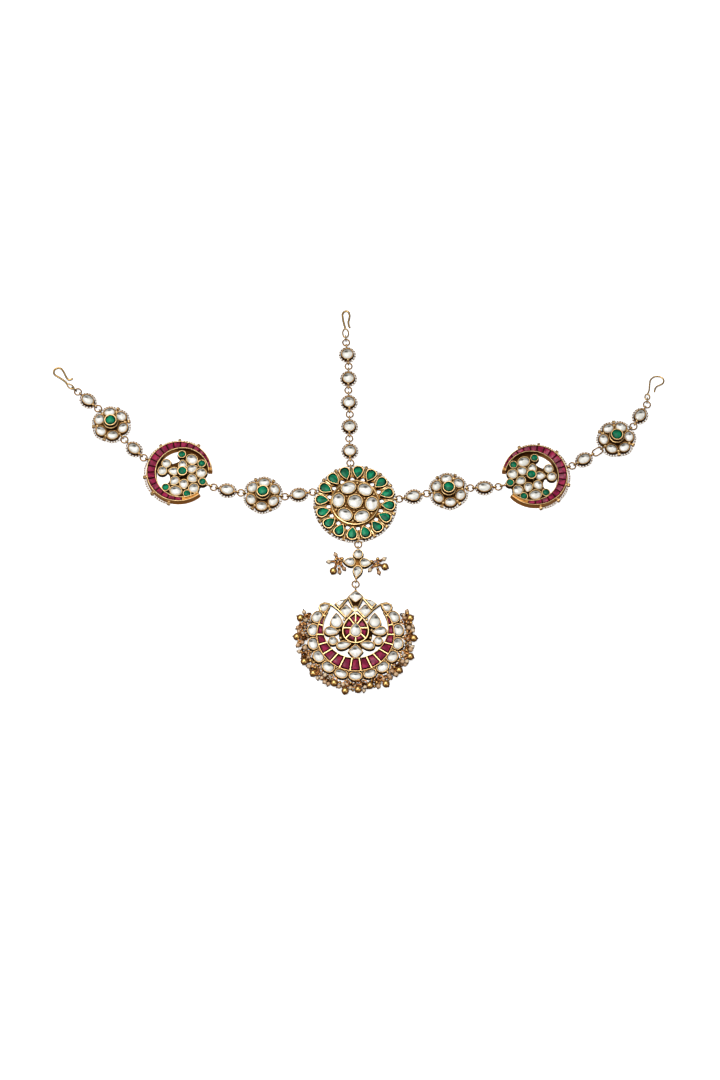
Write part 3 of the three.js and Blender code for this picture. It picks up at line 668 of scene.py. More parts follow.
def finish(name, group, settings, metallic, bump=0.0, coat=0.0, shine=0.5):
    """A material: one node group's colour, roughness and height on a shader of its own."""
    material = bpy.data.materials.new(name)
    material.use_nodes = True
    tree = material.node_tree
    shader = tree.nodes["Principled BSDF"]
    shader.inputs["Metallic"].default_value = metallic
    shader.inputs["Specular IOR Level"].default_value = shine
    shader.inputs["Coat Weight"].default_value = coat
    shader.inputs["Coat Roughness"].default_value = 0.03
    look = tree.nodes.new("ShaderNodeGroup")
    look.node_tree = group
    for label, value in settings.items():
        look.inputs[label].default_value = value
    tree.links.new(look.outputs["Color"], shader.inputs["Base Color"])
    tree.links.new(look.outputs["Roughness"], shader.inputs["Roughness"])
    if bump > 0:
        dent = tree.nodes.new("ShaderNodeBump")
        dent.inputs["Strength"].default_value = bump
        dent.inputs["Distance"].default_value = DENT_DEPTH
        tree.links.new(look.outputs["Height"], dent.inputs["Height"])
        tree.links.new(dent.outputs["Normal"], shader.inputs["Normal"])
    return material


chased_gold = finish(
    "chased_gold", antique,
    {"Bright": (0.95, 0.65, 0.3, 1), "Warm": (0.46, 0.2, 0.046, 1), "Deep": (0.026, 0.009, 0.002, 1),
     "Patina": 1.0, "Painted Side Shade": 0.92, "Polish": 0.28},
    1.0, 0.35,
)

# Stones over foil: a facet pattern with painted glints, and painted shade that greys each stone's far half,
# darkens its far edge and a band round its rim, and puts a dark spot towards its far side.
foil, foil_in, foil_out = node_group(
    "stone_over_foil_painted_shade", ["Light", "Body", "Dark"],
    ["Painted Rim Shade", "Rim Width", "Painted Half Shade", "Painted Far Shade", "Painted Spot Shade"])
on_stone = attribute(foil, "place_on_piece", "Vector")
own_seed = attribute(foil, "seed")
seed_far = joined(foil, Z=math_node(foil, "MULTIPLY", own_seed, 37.0))
facets = foil.nodes.new("ShaderNodeTexVoronoi")
facets.inputs["Scale"].default_value = 1.7
shifted = vector_node(foil, "MULTIPLY_ADD", "Vector", on_stone, (1, 1, 0), seed_far)
foil.links.new(shifted, facets.inputs["Vector"])
facet_tone = foil.nodes.new("ShaderNodeSeparateColor")
foil.links.new(facets.outputs["Color"], facet_tone.inputs["Color"])
glints = ranged(foil, facet_tone.outputs["Red"], 0.25, 0.85)
split = split_up(foil, on_stone)
# Painted shade, laid the same way on every stone: the far half, the far edge, a band round the rim and one
# spot.
far_edge = math_node(foil, "MULTIPLY_ADD", split["Y"], 0.32, c=split["Z"])
in_facets = math_node(foil, "MULTIPLY_ADD", glints, -0.22, c=split["Y"])
near_rim = math_node(foil, "ADD", split["Z"], foil_in["Rim Width"])
spot_side = math_node(foil, "MULTIPLY_ADD", own_seed, 0.5, c=-0.3)
on_plane = vector_node(foil, "MULTIPLY", "Vector", on_stone, (0.75, 1.2, 0))
spot_far = vector_node(foil, "DISTANCE", "Value", on_plane, joined(foil, X=spot_side, Y=0.38))
stone_colour_painted_shade = blend(foil, glints, foil_in["Body"], foil_in["Light"])
for shade, strength in (
    (ranged(foil, in_facets, -0.02, 0.2), "Painted Half Shade"),
    (ranged(foil, far_edge, 0.84, 1.12), "Painted Far Shade"),
    (ranged(foil, near_rim, 0.97, 1.09), "Painted Rim Shade"),
    (ranged(foil, spot_far, 0.1, 0.32, 1.0, 0.0), "Painted Spot Shade"),
):
    share = math_node(foil, "MULTIPLY", shade, foil_in[strength])
    stone_colour_painted_shade = blend(foil, share, stone_colour_painted_shade, foil_in["Dark"])
foil.links.new(stone_colour_painted_shade, foil_out["Color"])
foil.links.new(ranged(foil, glints, 0.0, 1.0, 0.3, 0.16), foil_out["Roughness"])
foil.links.new(glints, foil_out["Height"])

white_stone = finish(
    "white_stone", foil,
    {"Light": (0.97, 0.955, 0.91, 1), "Body": (0.76, 0.745, 0.68, 1), "Dark": (0.045, 0.04, 0.03, 1),
     "Painted Rim Shade": 0.8, "Rim Width": 0.19, "Painted Half Shade": 0.5, "Painted Far Shade": 0.8, "Painted Spot Shade": 0.95},
    0.0, coat=0.5,
)
green_stone = finish(
    "green_stone", foil,
    {"Light": (0.004, 0.29, 0.13, 1), "Body": (0.002, 0.12, 0.058, 1), "Dark": (0.0, 0.006, 0.004, 1),
     "Painted Rim Shade": 0.98, "Rim Width": 0.34, "Painted Half Shade": 0.25, "Painted Far Shade": 0.9, "Painted Spot Shade": 0.1},
    0.0, coat=0.04, shine=0.12,
)
red_stone = finish(
    "red_stone", foil,
    {"Light": (0.37, 0.018, 0.075, 1), "Body": (0.19, 0.008, 0.04, 1), "Dark": (0.025, 0.0, 0.005, 1),
     "Painted Rim Shade": 0.92, "Rim Width": 0.2, "Painted Half Shade": 0.2, "Painted Far Shade": 0.35, "Painted Spot Shade": 0.0},
    0.0, coat=0.05, shine=0.16,
)

lustre, lustre_in, lustre_out = node_group(
    "pearl_lustre", ["Cream", "Blush", "Under"], ["Under Reach", "Spread"])
pearl_where = lustre.nodes.new("ShaderNodeTexCoord").outputs["Object"]
clouding = noise(lustre, pearl_where, 900, 2)
warmth = math_node(lustre, "MULTIPLY", attribute(lustre, "seed"), lustre_in["Spread"])
warmth = math_node(lustre, "ADD", warmth, ranged(lustre, clouding, 0.4, 0.75, 0.0, 0.15), True)
pearl_colour = blend(lustre, warmth, lustre_in["Cream"], lustre_in["Blush"])
# Painted shade: below its middle each pearl takes the Under colour, which fades out by Under Reach up its
# upper half.
pearl_split = split_up(lustre, attribute(lustre, "place_on_piece", "Vector"))
up_the_side = math_node(lustre, "DIVIDE", pearl_split["Z"], lustre_in["Under Reach"])
painted_under_shade = ranged(lustre, up_the_side, 0.0, 1.0, 1.0, 0.0)
pearl_colour = blend(lustre, painted_under_shade, pearl_colour, lustre_in["Under"])
lustre.links.new(pearl_colour, lustre_out["Color"])
lustre.links.new(ranged(lustre, clouding, 0.3, 0.7, 0.18, 0.34), lustre_out["Roughness"])
lustre.links.new(clouding, lustre_out["Height"])

# Its Under colour is painted shade on the lower part of each seed pearl.
pearl = finish(
    "seed_pearl", lustre,
    {"Cream": (0.97, 0.95, 0.9, 1), "Blush": (0.84, 0.76, 0.66, 1), "Under": (0.16, 0.1, 0.055, 1),
     "Under Reach": 0.42, "Spread": 0.3},
    0.0, coat=0.5,
)


SHARP_EDGE = math.radians(38)  # faces that meet at more than this keep a sharp edge


def piece(making, name, material, slot, *nodes):
    """Turns a making into a finished piece that rides with the frame, and stands for the nodes named."""
    mesh = bpy.data.meshes.new(name)
    mesh.from_pydata([Vector(corner) * MM for corner in making.corners], [], making.faces)
    mesh.polygons.foreach_set("use_smooth", making.smooth)
    where_on = mesh.attributes.new("place_on_piece", "FLOAT_VECTOR", "POINT")
    where_on.data.foreach_set("vector", [number for place in making.places for number in place])
    seed = mesh.attributes.new("seed", "FLOAT", "POINT")
    seed.data.foreach_set("value", making.seeds)
    dark = mesh.attributes.new("dark", "FLOAT", "POINT")
    dark.data.foreach_set("value", making.darks)
    mesh.set_sharp_from_angle(angle=SHARP_EDGE)
    mesh.materials.append(material)
    made = bpy.data.objects.new(name, mesh)
    bpy.context.scene.collection.objects.link(made)
    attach(made, "root")
    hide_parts(*nodes)
    return made


SET_WORK = {
    # sort of piece: its finish, its material slot
    "gold": (chased_gold, "gold_plate"),
    "white_stone": (white_stone, "white_stone"),
    "green_stone": (green_stone, "green_stone"),
    "red_stone": (red_stone, "red_stone"),
    "pearl": (pearl, "pearl"),
}


def pieces(node, sorts, **makings):
    """The pieces of one part. The first one stands for its node."""
    stands_for = [node]
    for sort, making in makings.items():
        material, slot = sorts[sort.removesuffix("s")]
        piece(making, f"{node}_{sort}", material, slot, *stands_for)
        stands_for = []


pieces("medallion", SET_WORK, gold=medallion_gold, white_stones=medallion_white,
       green_stones=medallion_green, pearls=medallion_pearls)

# ---------- Jump rings ----------
# Round gold-plated wire bent to a ring, opened with pliers to join two loops and closed again,
# so each shows its cut. They lie flat between the links.
wire_gold = finish(
    "wire_gold", antique,
    {"Bright": (0.56, 0.36, 0.13, 1), "Warm": (0.25, 0.12, 0.03, 1), "Deep": (0.05, 0.022, 0.006, 1),
     "Patina": 0.9, "Painted Side Shade": 1.0, "Polish": 0.26},
    1.0, 0.15,
)
JUMP_RING = {"radius": 1.8, "wire": 0.38}
LONG_RING = {"node": "ring_right_6", "before": "ring_right_5", "after": "ring_right_7", "stretch": 2.2}
SAW_CUT = 5.0  # degrees


def node_middle(node):
    low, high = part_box(node)
    return (low + high) / 2 / MM


def cut_ring(making, radius, wire, place, cut_at, lift=0.0, stretch=0.0, dark=0.42):
    """A ring of wire with a saw cut. lift springs one end up, and stretch draws it out along X."""
    path = []
    for k in range(33):
        share = k / 32
        x, y = at_angle(cut_at + SAW_CUT / 2 + (360 - SAW_CUT) * share, radius)
        path.append((x + math.copysign(stretch / 2, x) * min(1, abs(x) * 3), y, lift * (share - 0.5)))
    tube(making, path, wire, 10, False, place, dark)


for node in sorted(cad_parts):
    if node.startswith("ring_"):
        middle = node_middle(node)
        heading, stretch = 0.0, 0.0
        if node == LONG_RING["node"]:
            run = node_middle(LONG_RING["after"]) - node_middle(LONG_RING["before"])
            heading, stretch = math.degrees(math.atan2(run.y, run.x)), LONG_RING["stretch"]
        ring = Making()
        cut_at = dice.choice((60, 120, 240, 300)) + dice.uniform(-20, 20)
        ring_place = spot(middle.x, middle.y, heading, middle.z)
        cut_ring(ring, JUMP_RING["radius"], JUMP_RING["wire"], ring_place, cut_at, 0.12, stretch)
        piece(ring, f"{node}_wire", wire_gold, "gold_wire", node)

# ---------- Links of one stone ----------
# One stone in a collet, with a soldered loop at each end. Seed pearls on a gold thread lie round
# the collet, oval on the arms and round on the top strip.
LINK_SPAN = {"arm": 10.8, "top": 10.2}
LINK_PEARL_GAP = 0.95  # from a collet's wall to the pearls' middles


def ring_reach(node):
    return JUMP_RING["radius"] + (LONG_RING["stretch"] / 2 if node == LONG_RING["node"] else 0)


def between(inner, outer):
    """The place half-way between two jump rings, with X from the inner one to the outer."""
    here, there = node_middle(inner), node_middle(outer)
    run = there - here
    middle = (here + there + run.normalized() * (ring_reach(inner) - ring_reach(outer))) / 2
    return spot(middle.x, middle.y, math.degrees(math.atan2(run.y, run.x)))


def spaced(path, spacing):
    """Points an even distance apart along a closed path."""
    legs = [(path[(k + 1) % len(path)] - path[k]).length for k in range(len(path))]
    count = round(sum(legs) / spacing)
    step = sum(legs) / count
    points = []
    travelled = 0.0
    leg = 0
    for k in range(count):
        target = (k + 0.5) * step
        while travelled + legs[leg] < target:
            travelled += legs[leg]
            leg += 1
        share = (target - travelled) / legs[leg]
        points.append(path[leg].lerp(path[(leg + 1) % len(path)], share))
    return points


def link(node, form, span, place):
    gold, white, pearls = Making(), Making(), Making()
    length, width, point = form
    setting(gold, white, form, place, 0.1, 2.4, 0.7, DULL)
    path = [Vector((x, y, 0.75)) for x, y in
            outline(length + 2 * LINK_PEARL_GAP, width + 2 * LINK_PEARL_GAP, point * 0.6, 96)]
    string = spaced(path, SEED_PEARL * 1.27)
    for number, pearl_at in enumerate(string):
        if abs(pearl_at.y) > 1.1:
            seed_pearl(pearls, pearl_at.x, pearl_at.y, place)
        halfway = (pearl_at + string[number - 1]) / 2
        knot(gold, halfway.x, halfway.y, place)
    thread(gold, path[::2], place)
    for turn in (0, 180):
        root = length / 2 - 0.2
        upright_loop(gold, span / 2, root, place @ spot(0, 0, turn), **CHAIN_LOOP)
    pieces(node, SET_WORK, gold=gold, white_stone=white, pearls=pearls)


ARM_OVAL = (7.3, 5.6, 0.0)
ARM_PEAR = (7.4, 5.8, 0.45)
TOP_ROUND = (6.4, 6.4, 0.0)
ARM_RINGS = {1: (1, 2), 2: (3, 4), 3: (5, 6), 4: (7, 8)}

for number in range(1, 6):
    place = between(f"ring_top_{number}", f"ring_top_{number + 1}")
    link(f"link_top_{number}", TOP_ROUND, LINK_SPAN["top"], place)
for side in ("left", "right"):
    for number, (inner, outer) in ARM_RINGS.items():
        place = between(f"ring_{side}_{inner}", f"ring_{side}_{outer}")
        is_pear = side == "right" and number == 1
        form = ARM_PEAR if is_pear else ARM_OVAL
        link(f"link_{side}_{number}", form, LINK_SPAN["arm"], place @ spot(0, 0, 180 if is_pear else 0))

# ---------- Flowers ----------
# Six oval stones on a lobed plate round a green one that stands in a tall stepped collet. Thread
# loops stand between the petals, with strings of seed pearls from loop to loop.
FLOWER = {"petals": 6, "petal_far": 6.6, "petal": (5.2, 6.2, 0.0), "notch": 7.6, "lobe": 1.8}
FLOWER_LOOPS = {"chain": 9.6, "thread": 9.25, "root": 7.0}
FLOWER_PEARLS = {"count": 6, "notch": 9.15, "lobe": 0.95, "size": 1.3}
FLOWER_CLEAR = {"chain": 8.5, "thread": 5.0}  # degrees left free of pearls beside a loop
TOWER = [
    # inset, height, painted shade and tarnish: the drum under the green stone's collet
    (0.3, 1.4, 1.0),
    (0.0, 1.9, 0.9),
    (0.0, 4.3, 0.35),
    (0.14, 4.7, POLISHED),
    (0.36, 4.8, POLISHED),
    (0.55, 4.6, 0.7),
    (0.7, 4.5, 1.0),
]


def pearl_far(swing, step):
    return FLOWER_PEARLS["notch"] + FLOWER_PEARLS["lobe"] * abs(math.sin(math.pi * swing / step))


def flower(node, place):
    gold, white, green, pearls = Making(), Making(), Making(), Making()
    step = 360 / FLOWER["petals"]
    rim = []
    for k in range(120):
        turn = 360 * k / 120
        bow = abs(math.sin(math.radians(turn * FLOWER["petals"] / 2))) ** 0.7
        far = FLOWER["notch"] + FLOWER["lobe"] * bow
        rim.append(at_angle(turn, far))
    # The lobed plate is painted dark, as shade between the petals.
    slab(gold, [rim], [(0, 0.05), (0, 1.3), (0.2, 1.5)], place, 0.9)
    for k in range(FLOWER["petals"]):
        petal = place @ around((k + 0.5) * step, FLOWER["petal_far"])
        setting(gold, white, FLOWER["petal"], petal, 0.9, 2.4, 0.55, DULL)
    loft(gold, outline(7.9, 7.9, 0, 48), TOWER, place)
    setting(gold, green, (6.3, 6.3, 0.0), place, 4.3, 6.9, 0.75, POLISHED)
    for k in range(FLOWER["petals"]):
        spoke = place @ spot(0, 0, k * step)
        here, there = ("chain" if number % 3 == 0 else "thread" for number in (k, k + 1))
        kind = CHAIN_LOOP if here == "chain" else THREAD_LOOP
        upright_loop(gold, FLOWER_LOOPS[here], FLOWER_LOOPS["root"], spoke, **kind)
        apart = (step - FLOWER_CLEAR[here] - FLOWER_CLEAR[there]) / FLOWER_PEARLS["count"]
        strung(gold, pearls, FLOWER_PEARLS["count"], FLOWER_CLEAR[here], apart,
               lambda swing, spoke=spoke: (0, spoke @ around(swing, pearl_far(swing, step))),
               FLOWER_PEARLS["size"])
    string = [around(3.75 * k, pearl_far(3.75 * k, step)) @ Vector((0, 0, 0.75)) for k in range(96)]
    thread(gold, string, place)
    pieces(node, SET_WORK, gold=gold, white_stones=white, green_stone=green, pearls=pearls)


for side in ("left", "right"):
    flower(f"flower_{side}_inner", between(f"ring_{side}_2", f"ring_{side}_3"))
    flower(f"flower_{side}_outer", between(f"ring_{side}_6", f"ring_{side}_7"))

# ---------- Crescents ----------
# A deep channel of square-cut rubies, set edge to edge between two thin walls, curls round an
# open flower of white and green stones whose collets are soldered to each other and the channel.
CRESCENT = {"outer": 16.8, "inner": 13.6, "shift": -1.75, "tip": 155, "wall": 3.8, "floor": 2.9,
            "rim": 0.36}
CRESCENT_FLARE = 0.4  # how far the outer wall's foot stands out
CRESCENT_FROM_RING = 19.7
RUBIES = {"gap": 0.8, "seat": 0.16, "count": 20, "from": -121, "to": 148}
OPEN_FLOWER_AT = (-1.6, 0.7)
OPEN_FLOWER = [
    # (angle, distance) places about its middle, (length, width, point), wall height, stone
    (((65, 4.1), (133.5, 5.4), (190, 6.3), (238.5, 6.8), (285.5, 6.35), (342, 4.65)),
     (5.6, 4.8, 0.4), 2.4, "white"),
    (((99, 8.6), (263, 10.9)), (5.6, 6.6, 0.0), 2.5, "white"),
    (((158, 9.75), (212, 10.8)), (5.6, 5.6, 0.2), 2.5, "white"),
    (((6, 9.8), (340, 10.45)), (5.0, 5.1, 0.0), 2.4, "white"),
    (((62.6, 9.8), (130.6, 10.85), (183.6, 11.8), (233.5, 12.5), (290, 12.1)),
     (4.3, 4.3, 0.0), 3.0, "green"),
]
# Its back plate, which leaves two windows on the side of the outer chain loop.
OPEN_FLOWER_PLATE = [
    # angle, distance
    (-22, 12.8), (-8, 13.1), (8, 13.1), (16, 12.4), (20, 7.4), (34, 6.8), (48, 6.8), (55, 7.6), (58, 12.4),
    (70, 13.1), (90, 13.6), (110, 13.9), (130, 14.1), (146, 14.3), (156, 12.6), (170, 12.2), (184, 12.6),
    (198, 12.4), (212, 13.0), (222, 14.6), (236, 15.2), (252, 15.0), (268, 14.6), (284, 14.3), (296, 14.0),
    (300, 8.4), (312, 7.0), (328, 7.0), (336, 8.0),
]
EDGE_LOOPS_AT = (-98, -65.3, -32.6, 0, 32.6, 65.3, 98)
EDGE_PEARLS = {"count": 6, "clear": 3.5, "far": 17.8, "bow": 0.3, "size": 1.2}  # between two loops
CRESCENT_LOOPS = {"chain": 18.6, "thread": 18.0, "back": 17.9, "back_root": 15.6}


def band_edge(degrees, radius, shift_x=0.0, shift_y=0.0):
    """The point of a shifted circle that lies in one direction from the middle."""
    angle = math.radians(degrees)
    along = shift_x * math.cos(angle) + shift_y * math.sin(angle)
    aside = shift_x * math.sin(angle) - shift_y * math.cos(angle)
    return Vector(at_angle(degrees, along + math.sqrt(radius ** 2 - aside ** 2)))


def ruby(stones, corners, height, place):
    """A square-cut stone between four corners, with a narrow bevel and a flat top."""
    middle = sum(corners, Vector((0, 0))) / 4
    rows = ((0.02, height - 0.7), (0.03, height - 0.12), (0.2, height + 0.1))
    tilt = dice.uniform(-0.08, 0.08)
    shaped = []
    places = []
    for share, z in rows:
        for corner in corners:
            x, y = corner.lerp(middle, share)
            shaped.append(place @ Vector((x, y, z + tilt * (x - middle.x) * (share > 0.1))))
            off = (corner - middle).normalized() * (1 - share)
            places.append((off.x, off.y, 0.95 if share < 0.1 else 0.6))
    faces = [(3, 2, 1, 0), (8, 9, 10, 11)]
    for row in (0, 4):
        faces.extend(belt(row, row + 4, 4))
    stones.add(shaped, faces, False, places, dice.random())


def band(gold, outside, inside, rows, place, dark=0.0):
    slab(gold, [[tuple(p) for p in outside + inside[::-1]]], rows, place, dark)


def edge_far(degrees):
    """How far out the strung pearls lie: they bow out a little between the loops."""
    step = EDGE_LOOPS_AT[1] - EDGE_LOOPS_AT[0]
    bow = abs(math.sin(math.pi * (degrees - EDGE_LOOPS_AT[0]) / step))
    return EDGE_PEARLS["far"] + EDGE_PEARLS["bow"] * bow


def crescent(node, place, up):
    """up is 1 or -1: the side of local Y that lies towards the top strip."""
    gold, red, white, green, pearls = Making(), Making(), Making(), Making(), Making()
    outer, inner, shift, tip = (CRESCENT[key] for key in ("outer", "inner", "shift", "tip"))
    wall, rim = CRESCENT["wall"], CRESCENT["rim"]
    turns = [-tip + 2 * tip * k / 80 for k in range(81)]
    outside = [band_edge(turn, outer) for turn in turns]
    inside = [band_edge(turn, inner, shift) for turn in turns]
    floor_rows = [(-CRESCENT_FLARE, 0), (-CRESCENT_FLARE * 0.6, 1.6), (0.05, CRESCENT["floor"])]
    band(gold, outside, inside, floor_rows, place, -0.6)
    # A sheet below the rubies is painted dark, as shade in the gaps between them.
    band(gold, outside, inside, [(0.3, 1.5), (0.3, CRESCENT["floor"] + 0.05)], place, 1.0)
    top = [(0, 1.5), (0, wall - 0.12), (0.1, wall)]
    band(gold, outside, [p - p.normalized() * rim for p in outside], top, place, WORN)
    band(gold, [p + p.normalized() * rim for p in inside], inside, top, place, WORN)
    ends = sorted((up * RUBIES["from"], up * RUBIES["to"]))
    low_horn, high_horn = (round((tip - abs(end)) / (2 * tip) * 80) + 1 for end in ends)
    for part in (slice(0, low_horn), slice(-high_horn, None)):
        cap = [(0.05, 1.5), (0.05, wall - 0.35), (0.45, wall - 0.05)]
        band(gold, outside[part], inside[part], cap, place, 0.66)
    step = (ends[1] - ends[0]) / RUBIES["count"]
    for k in range(RUBIES["count"]):
        low = ends[0] + k * step + RUBIES["gap"]
        high = low + step - 2 * RUBIES["gap"]
        corners = []
        for turn, radius, offset, inward in ((low, inner, shift, 1), (low, outer, 0, -1),
                                             (high, outer, 0, -1), (high, inner, shift, 1)):
            edge_point = band_edge(turn, radius, offset)
            corners.append(edge_point + edge_point.normalized() * inward * (rim + RUBIES["seat"]))
        ruby(red, corners, wall - 0.1, place)
    flower_place = place @ spot(OPEN_FLOWER_AT[0], up * OPEN_FLOWER_AT[1])
    for places, form, high, kind in OPEN_FLOWER:
        for angle, far in places:
            stones, polish = (white, 0.0) if kind == "white" else (green, WORN)
            setting(gold, stones, form, flower_place @ around(up * angle, far), 0.1, high, 0.6, polish)
            for near, away in ((far - 3.4, far - 1.5), (far + 1.3, far + 2.7)):
                if kind == "green" or form[2] == 0.0:
                    strut_place = flower_place @ spot(0, 0, up * angle)
                    tube(gold, [(near, 0, 1.0), (away, 0, 1.0)], 0.6, 8, False, strut_place, 0.8)
    # The back plate is painted dark, as shade behind the stones.
    back = [around(up * angle, far) @ Vector((0, 0, 0)) for angle, far in OPEN_FLOWER_PLATE]
    slab(gold, [[(p.x, p.y) for p in back[::up]]], [(0, 0.1), (0, 0.9), (0.15, 1.05)], flower_place, 0.95)
    collar = [(0.0, 1.0, 0.6), (0.0, 2.8, 0.3), (0.3, 3.2, 0.2), (0.9, 3.4, 0.4)]
    loft(gold, outline(6.8, 6.8, 0, 4), collar, flower_place)
    setting(gold, green, (5.2, 5.2, 0.0), flower_place, 3.0, 4.1, 0.7, POLISHED)
    for angle in EDGE_LOOPS_AT:
        spoke = place @ spot(0, 0, angle)
        if angle == 0:
            upright_loop(gold, CRESCENT_LOOPS["chain"], outer, spoke, **CHAIN_LOOP)
        else:
            upright_loop(gold, CRESCENT_LOOPS["thread"], outer - 0.1, spoke, **THREAD_LOOP)
    back_place = place @ spot(0, 0, 180)
    upright_loop(gold, CRESCENT_LOOPS["back"], CRESCENT_LOOPS["back_root"], back_place, **CHAIN_LOOP)
    clear = EDGE_PEARLS["clear"]
    for start, stop in zip(EDGE_LOOPS_AT, EDGE_LOOPS_AT[1:]):
        apart = (stop - start - 2 * clear) / EDGE_PEARLS["count"]
        strung(gold, pearls, EDGE_PEARLS["count"], start + clear, apart,
               lambda swing: (edge_far(swing), place @ spot(0, 0, swing)), EDGE_PEARLS["size"])
    string_span = EDGE_LOOPS_AT[-1] - EDGE_LOOPS_AT[0]
    swings = [EDGE_LOOPS_AT[0] + string_span * k / 96 for k in range(97)]
    string = [around(swing, edge_far(swing)) @ Vector((0, 0, 0.7)) for swing in swings]
    thread(gold, string, place, False)
    pieces(node, SET_WORK, gold=gold, red_stones=red, white_stones=white, green_stones=green, pearls=pearls)


for side in ("left", "right"):
    inner_ring, outer_ring = node_middle(f"ring_{side}_4"), node_middle(f"ring_{side}_5")
    run = (outer_ring - inner_ring).normalized()
    middle = inner_ring + run * CRESCENT_FROM_RING
    heading = math.degrees(math.atan2(run.y, run.x))
    crescent(f"crescent_{side}", spot(middle.x, middle.y, heading), 1 if run.x > 0 else -1)

# ---------- Connector ----------
# Four stones in deep collets soldered into a cross. It hangs from the medallion by one loop,
# carries the pendant by another, and has a small loop for beads at each side.
CONNECTOR_STONES = [
    # x, y, turn, (length, width, point)
    (0.3, 5.4, 90, (5.2, 5.0, 0.0)),
    (0.5, -4.3, -96, (6.8, 4.7, 0.8)),
    (4.4, 0.9, 0, (6.1, 5.0, 0.7)),
    (-3.9, 0.9, 180, (6.1, 5.0, 0.7)),
]
CONNECTOR_LOOPS = [
    # x, y the loop's ray starts from, turn, reach, root, kind
    (0, 0, 90, 9.1, 7.2, "chain"),
    (0, 0, -90, 9.1, 7.2, "chain"),
    (0, 1.2, 0, 8.1, 6.8, "small"),
    (0, 1.2, 180, 8.1, 6.8, "small"),
]
SMALL_LOOP = {"radius": 0.98, "wire": 0.3}

connector_place = between("ring_bottom_1", "ring_bottom_2") @ spot(0, 0, 90)
connector_gold, connector_white = Making(), Making()
for x, y, turn, form in CONNECTOR_STONES:
    setting(connector_gold, connector_white, form, connector_place @ spot(x, y, turn), 0.1, 2.5, 0.6)
loft(connector_gold, outline(5.4, 5.4, 0, 16), [(0, 0.2, 1.0), (0, 1.3, 0.8), (0.3, 1.5, 0.8)],
     connector_place @ spot(0.3, 1.0))
for x, y, turn, reach, root, kind in CONNECTOR_LOOPS:
    wire = CHAIN_LOOP if kind == "chain" else SMALL_LOOP
    upright_loop(connector_gold, reach, root, connector_place @ spot(x, y, turn), **wire)
pieces("connector", SET_WORK, gold=connector_gold, white_stones=connector_white)

# ---------- Beads beside the connector ----------
# A small ring in each side loop carries a hollow gold ball and a few pearls. Each bead sits on a
# head pin, whose wire is wound two or three times into a coil under its loop.
DROP_RING = {"radius": 1.5, "wire": 0.36}
BALL = 3.9
SMALLEST_BALL, SMALLEST_PEARL = 3, 2  # a smaller bead is a pearl, or a grain without a pin
RING_CUT_AT = 100
SPARE_RINGS = [
    # x, y from the ring's middle, lean
    (0.9, -0.9, 0.4),
    (-0.5, -1.5, -0.3),
    (0.8, 0.9, -0.5),
]
polished_gold = finish(
    "polished_gold_ball", antique,
    {"Bright": (0.84, 0.5, 0.17, 1), "Warm": (0.42, 0.19, 0.04, 1), "Deep": (0.07, 0.024, 0.005, 1),
     "Patina": 0.7, "Painted Side Shade": 0.9, "Polish": 0.3},
    1.0, 0.1,
)
rose_gold = finish(
    "rose_gold_wire", antique,
    {"Bright": (0.66, 0.32, 0.115, 1), "Warm": (0.27, 0.09, 0.02, 1), "Deep": (0.03, 0.009, 0.002, 1),
     "Patina": 1.0, "Painted Side Shade": 0.95, "Polish": 0.24},
    1.0, 0.1,
)
# Its Under colour is painted shade over all but the top of each pearl.
warm_pearl = finish(
    "warm_pearl", lustre,
    {"Cream": (0.84, 0.68, 0.46, 1), "Blush": (0.52, 0.27, 0.115, 1), "Under": (0.05, 0.015, 0.004, 1),
     "Under Reach": 1.0, "Spread": 0.9},
    0.0, coat=0.6,
)
BEAD_WORK = {
    "wire": (rose_gold, "gold_wire"),
    "ball": (polished_gold, "gold_ball"),
    "pearl": (warm_pearl, "pearl"),
}
PIN = {"wire": 0.2, "eye": 0.7, "eye_wire": 0.23, "coil": 0.56, "coil_wire": 0.27, "turns": 3, "head": 0.85}
LOWEST_WIRE = 0.75  # nothing on a pin lies lower than this above the table


def head_pin(wire, beads, start, centre, size, place):
    """A bead on its pin: an eye on the ring, a coil wound under it, and a flat head beyond the bead."""
    start, centre = Vector(start), Vector(centre)
    run = (centre - start).normalized()
    far_end = centre.z + run.z * (size * 0.5 + 0.12)
    if far_end < LOWEST_WIRE:
        run.z += (LOWEST_WIRE - far_end) / (size * 0.5)
        run.normalize()
    side = run.orthogonal().normalized()
    up = run.cross(side)
    near = centre - run * size * 0.46
    coil_length = min(1.6, max(0.6, (near - start).length - 0.1))
    coil = []
    for k in range(31):
        turn = 2 * math.pi * PIN["turns"] * k / 30
        off = side * math.cos(turn) + up * math.sin(turn)
        coil.append(near - run * (coil_length * (1 - k / 30)) + off * PIN["coil"])
    tube(wire, coil, PIN["coil_wire"], 6, False, place)
    eye = []
    for turn in full_turn(14):
        eye.append(start + run * (PIN["eye"] * math.cos(turn)) + up * (PIN["eye"] * math.sin(turn)))
    tube(wire, eye, PIN["eye_wire"], 6, True, place)
    tip = centre + run * (size * 0.5 + 0.12)
    tube(wire, [start + run * PIN["eye"], near, tip], PIN["wire"], 6, False, place)
    ball(wire, tip, PIN["head"], place, 0, 8, 5, 1.0, 0.85)
    ball(beads, centre, size, place, dice.random(), 20, 12)


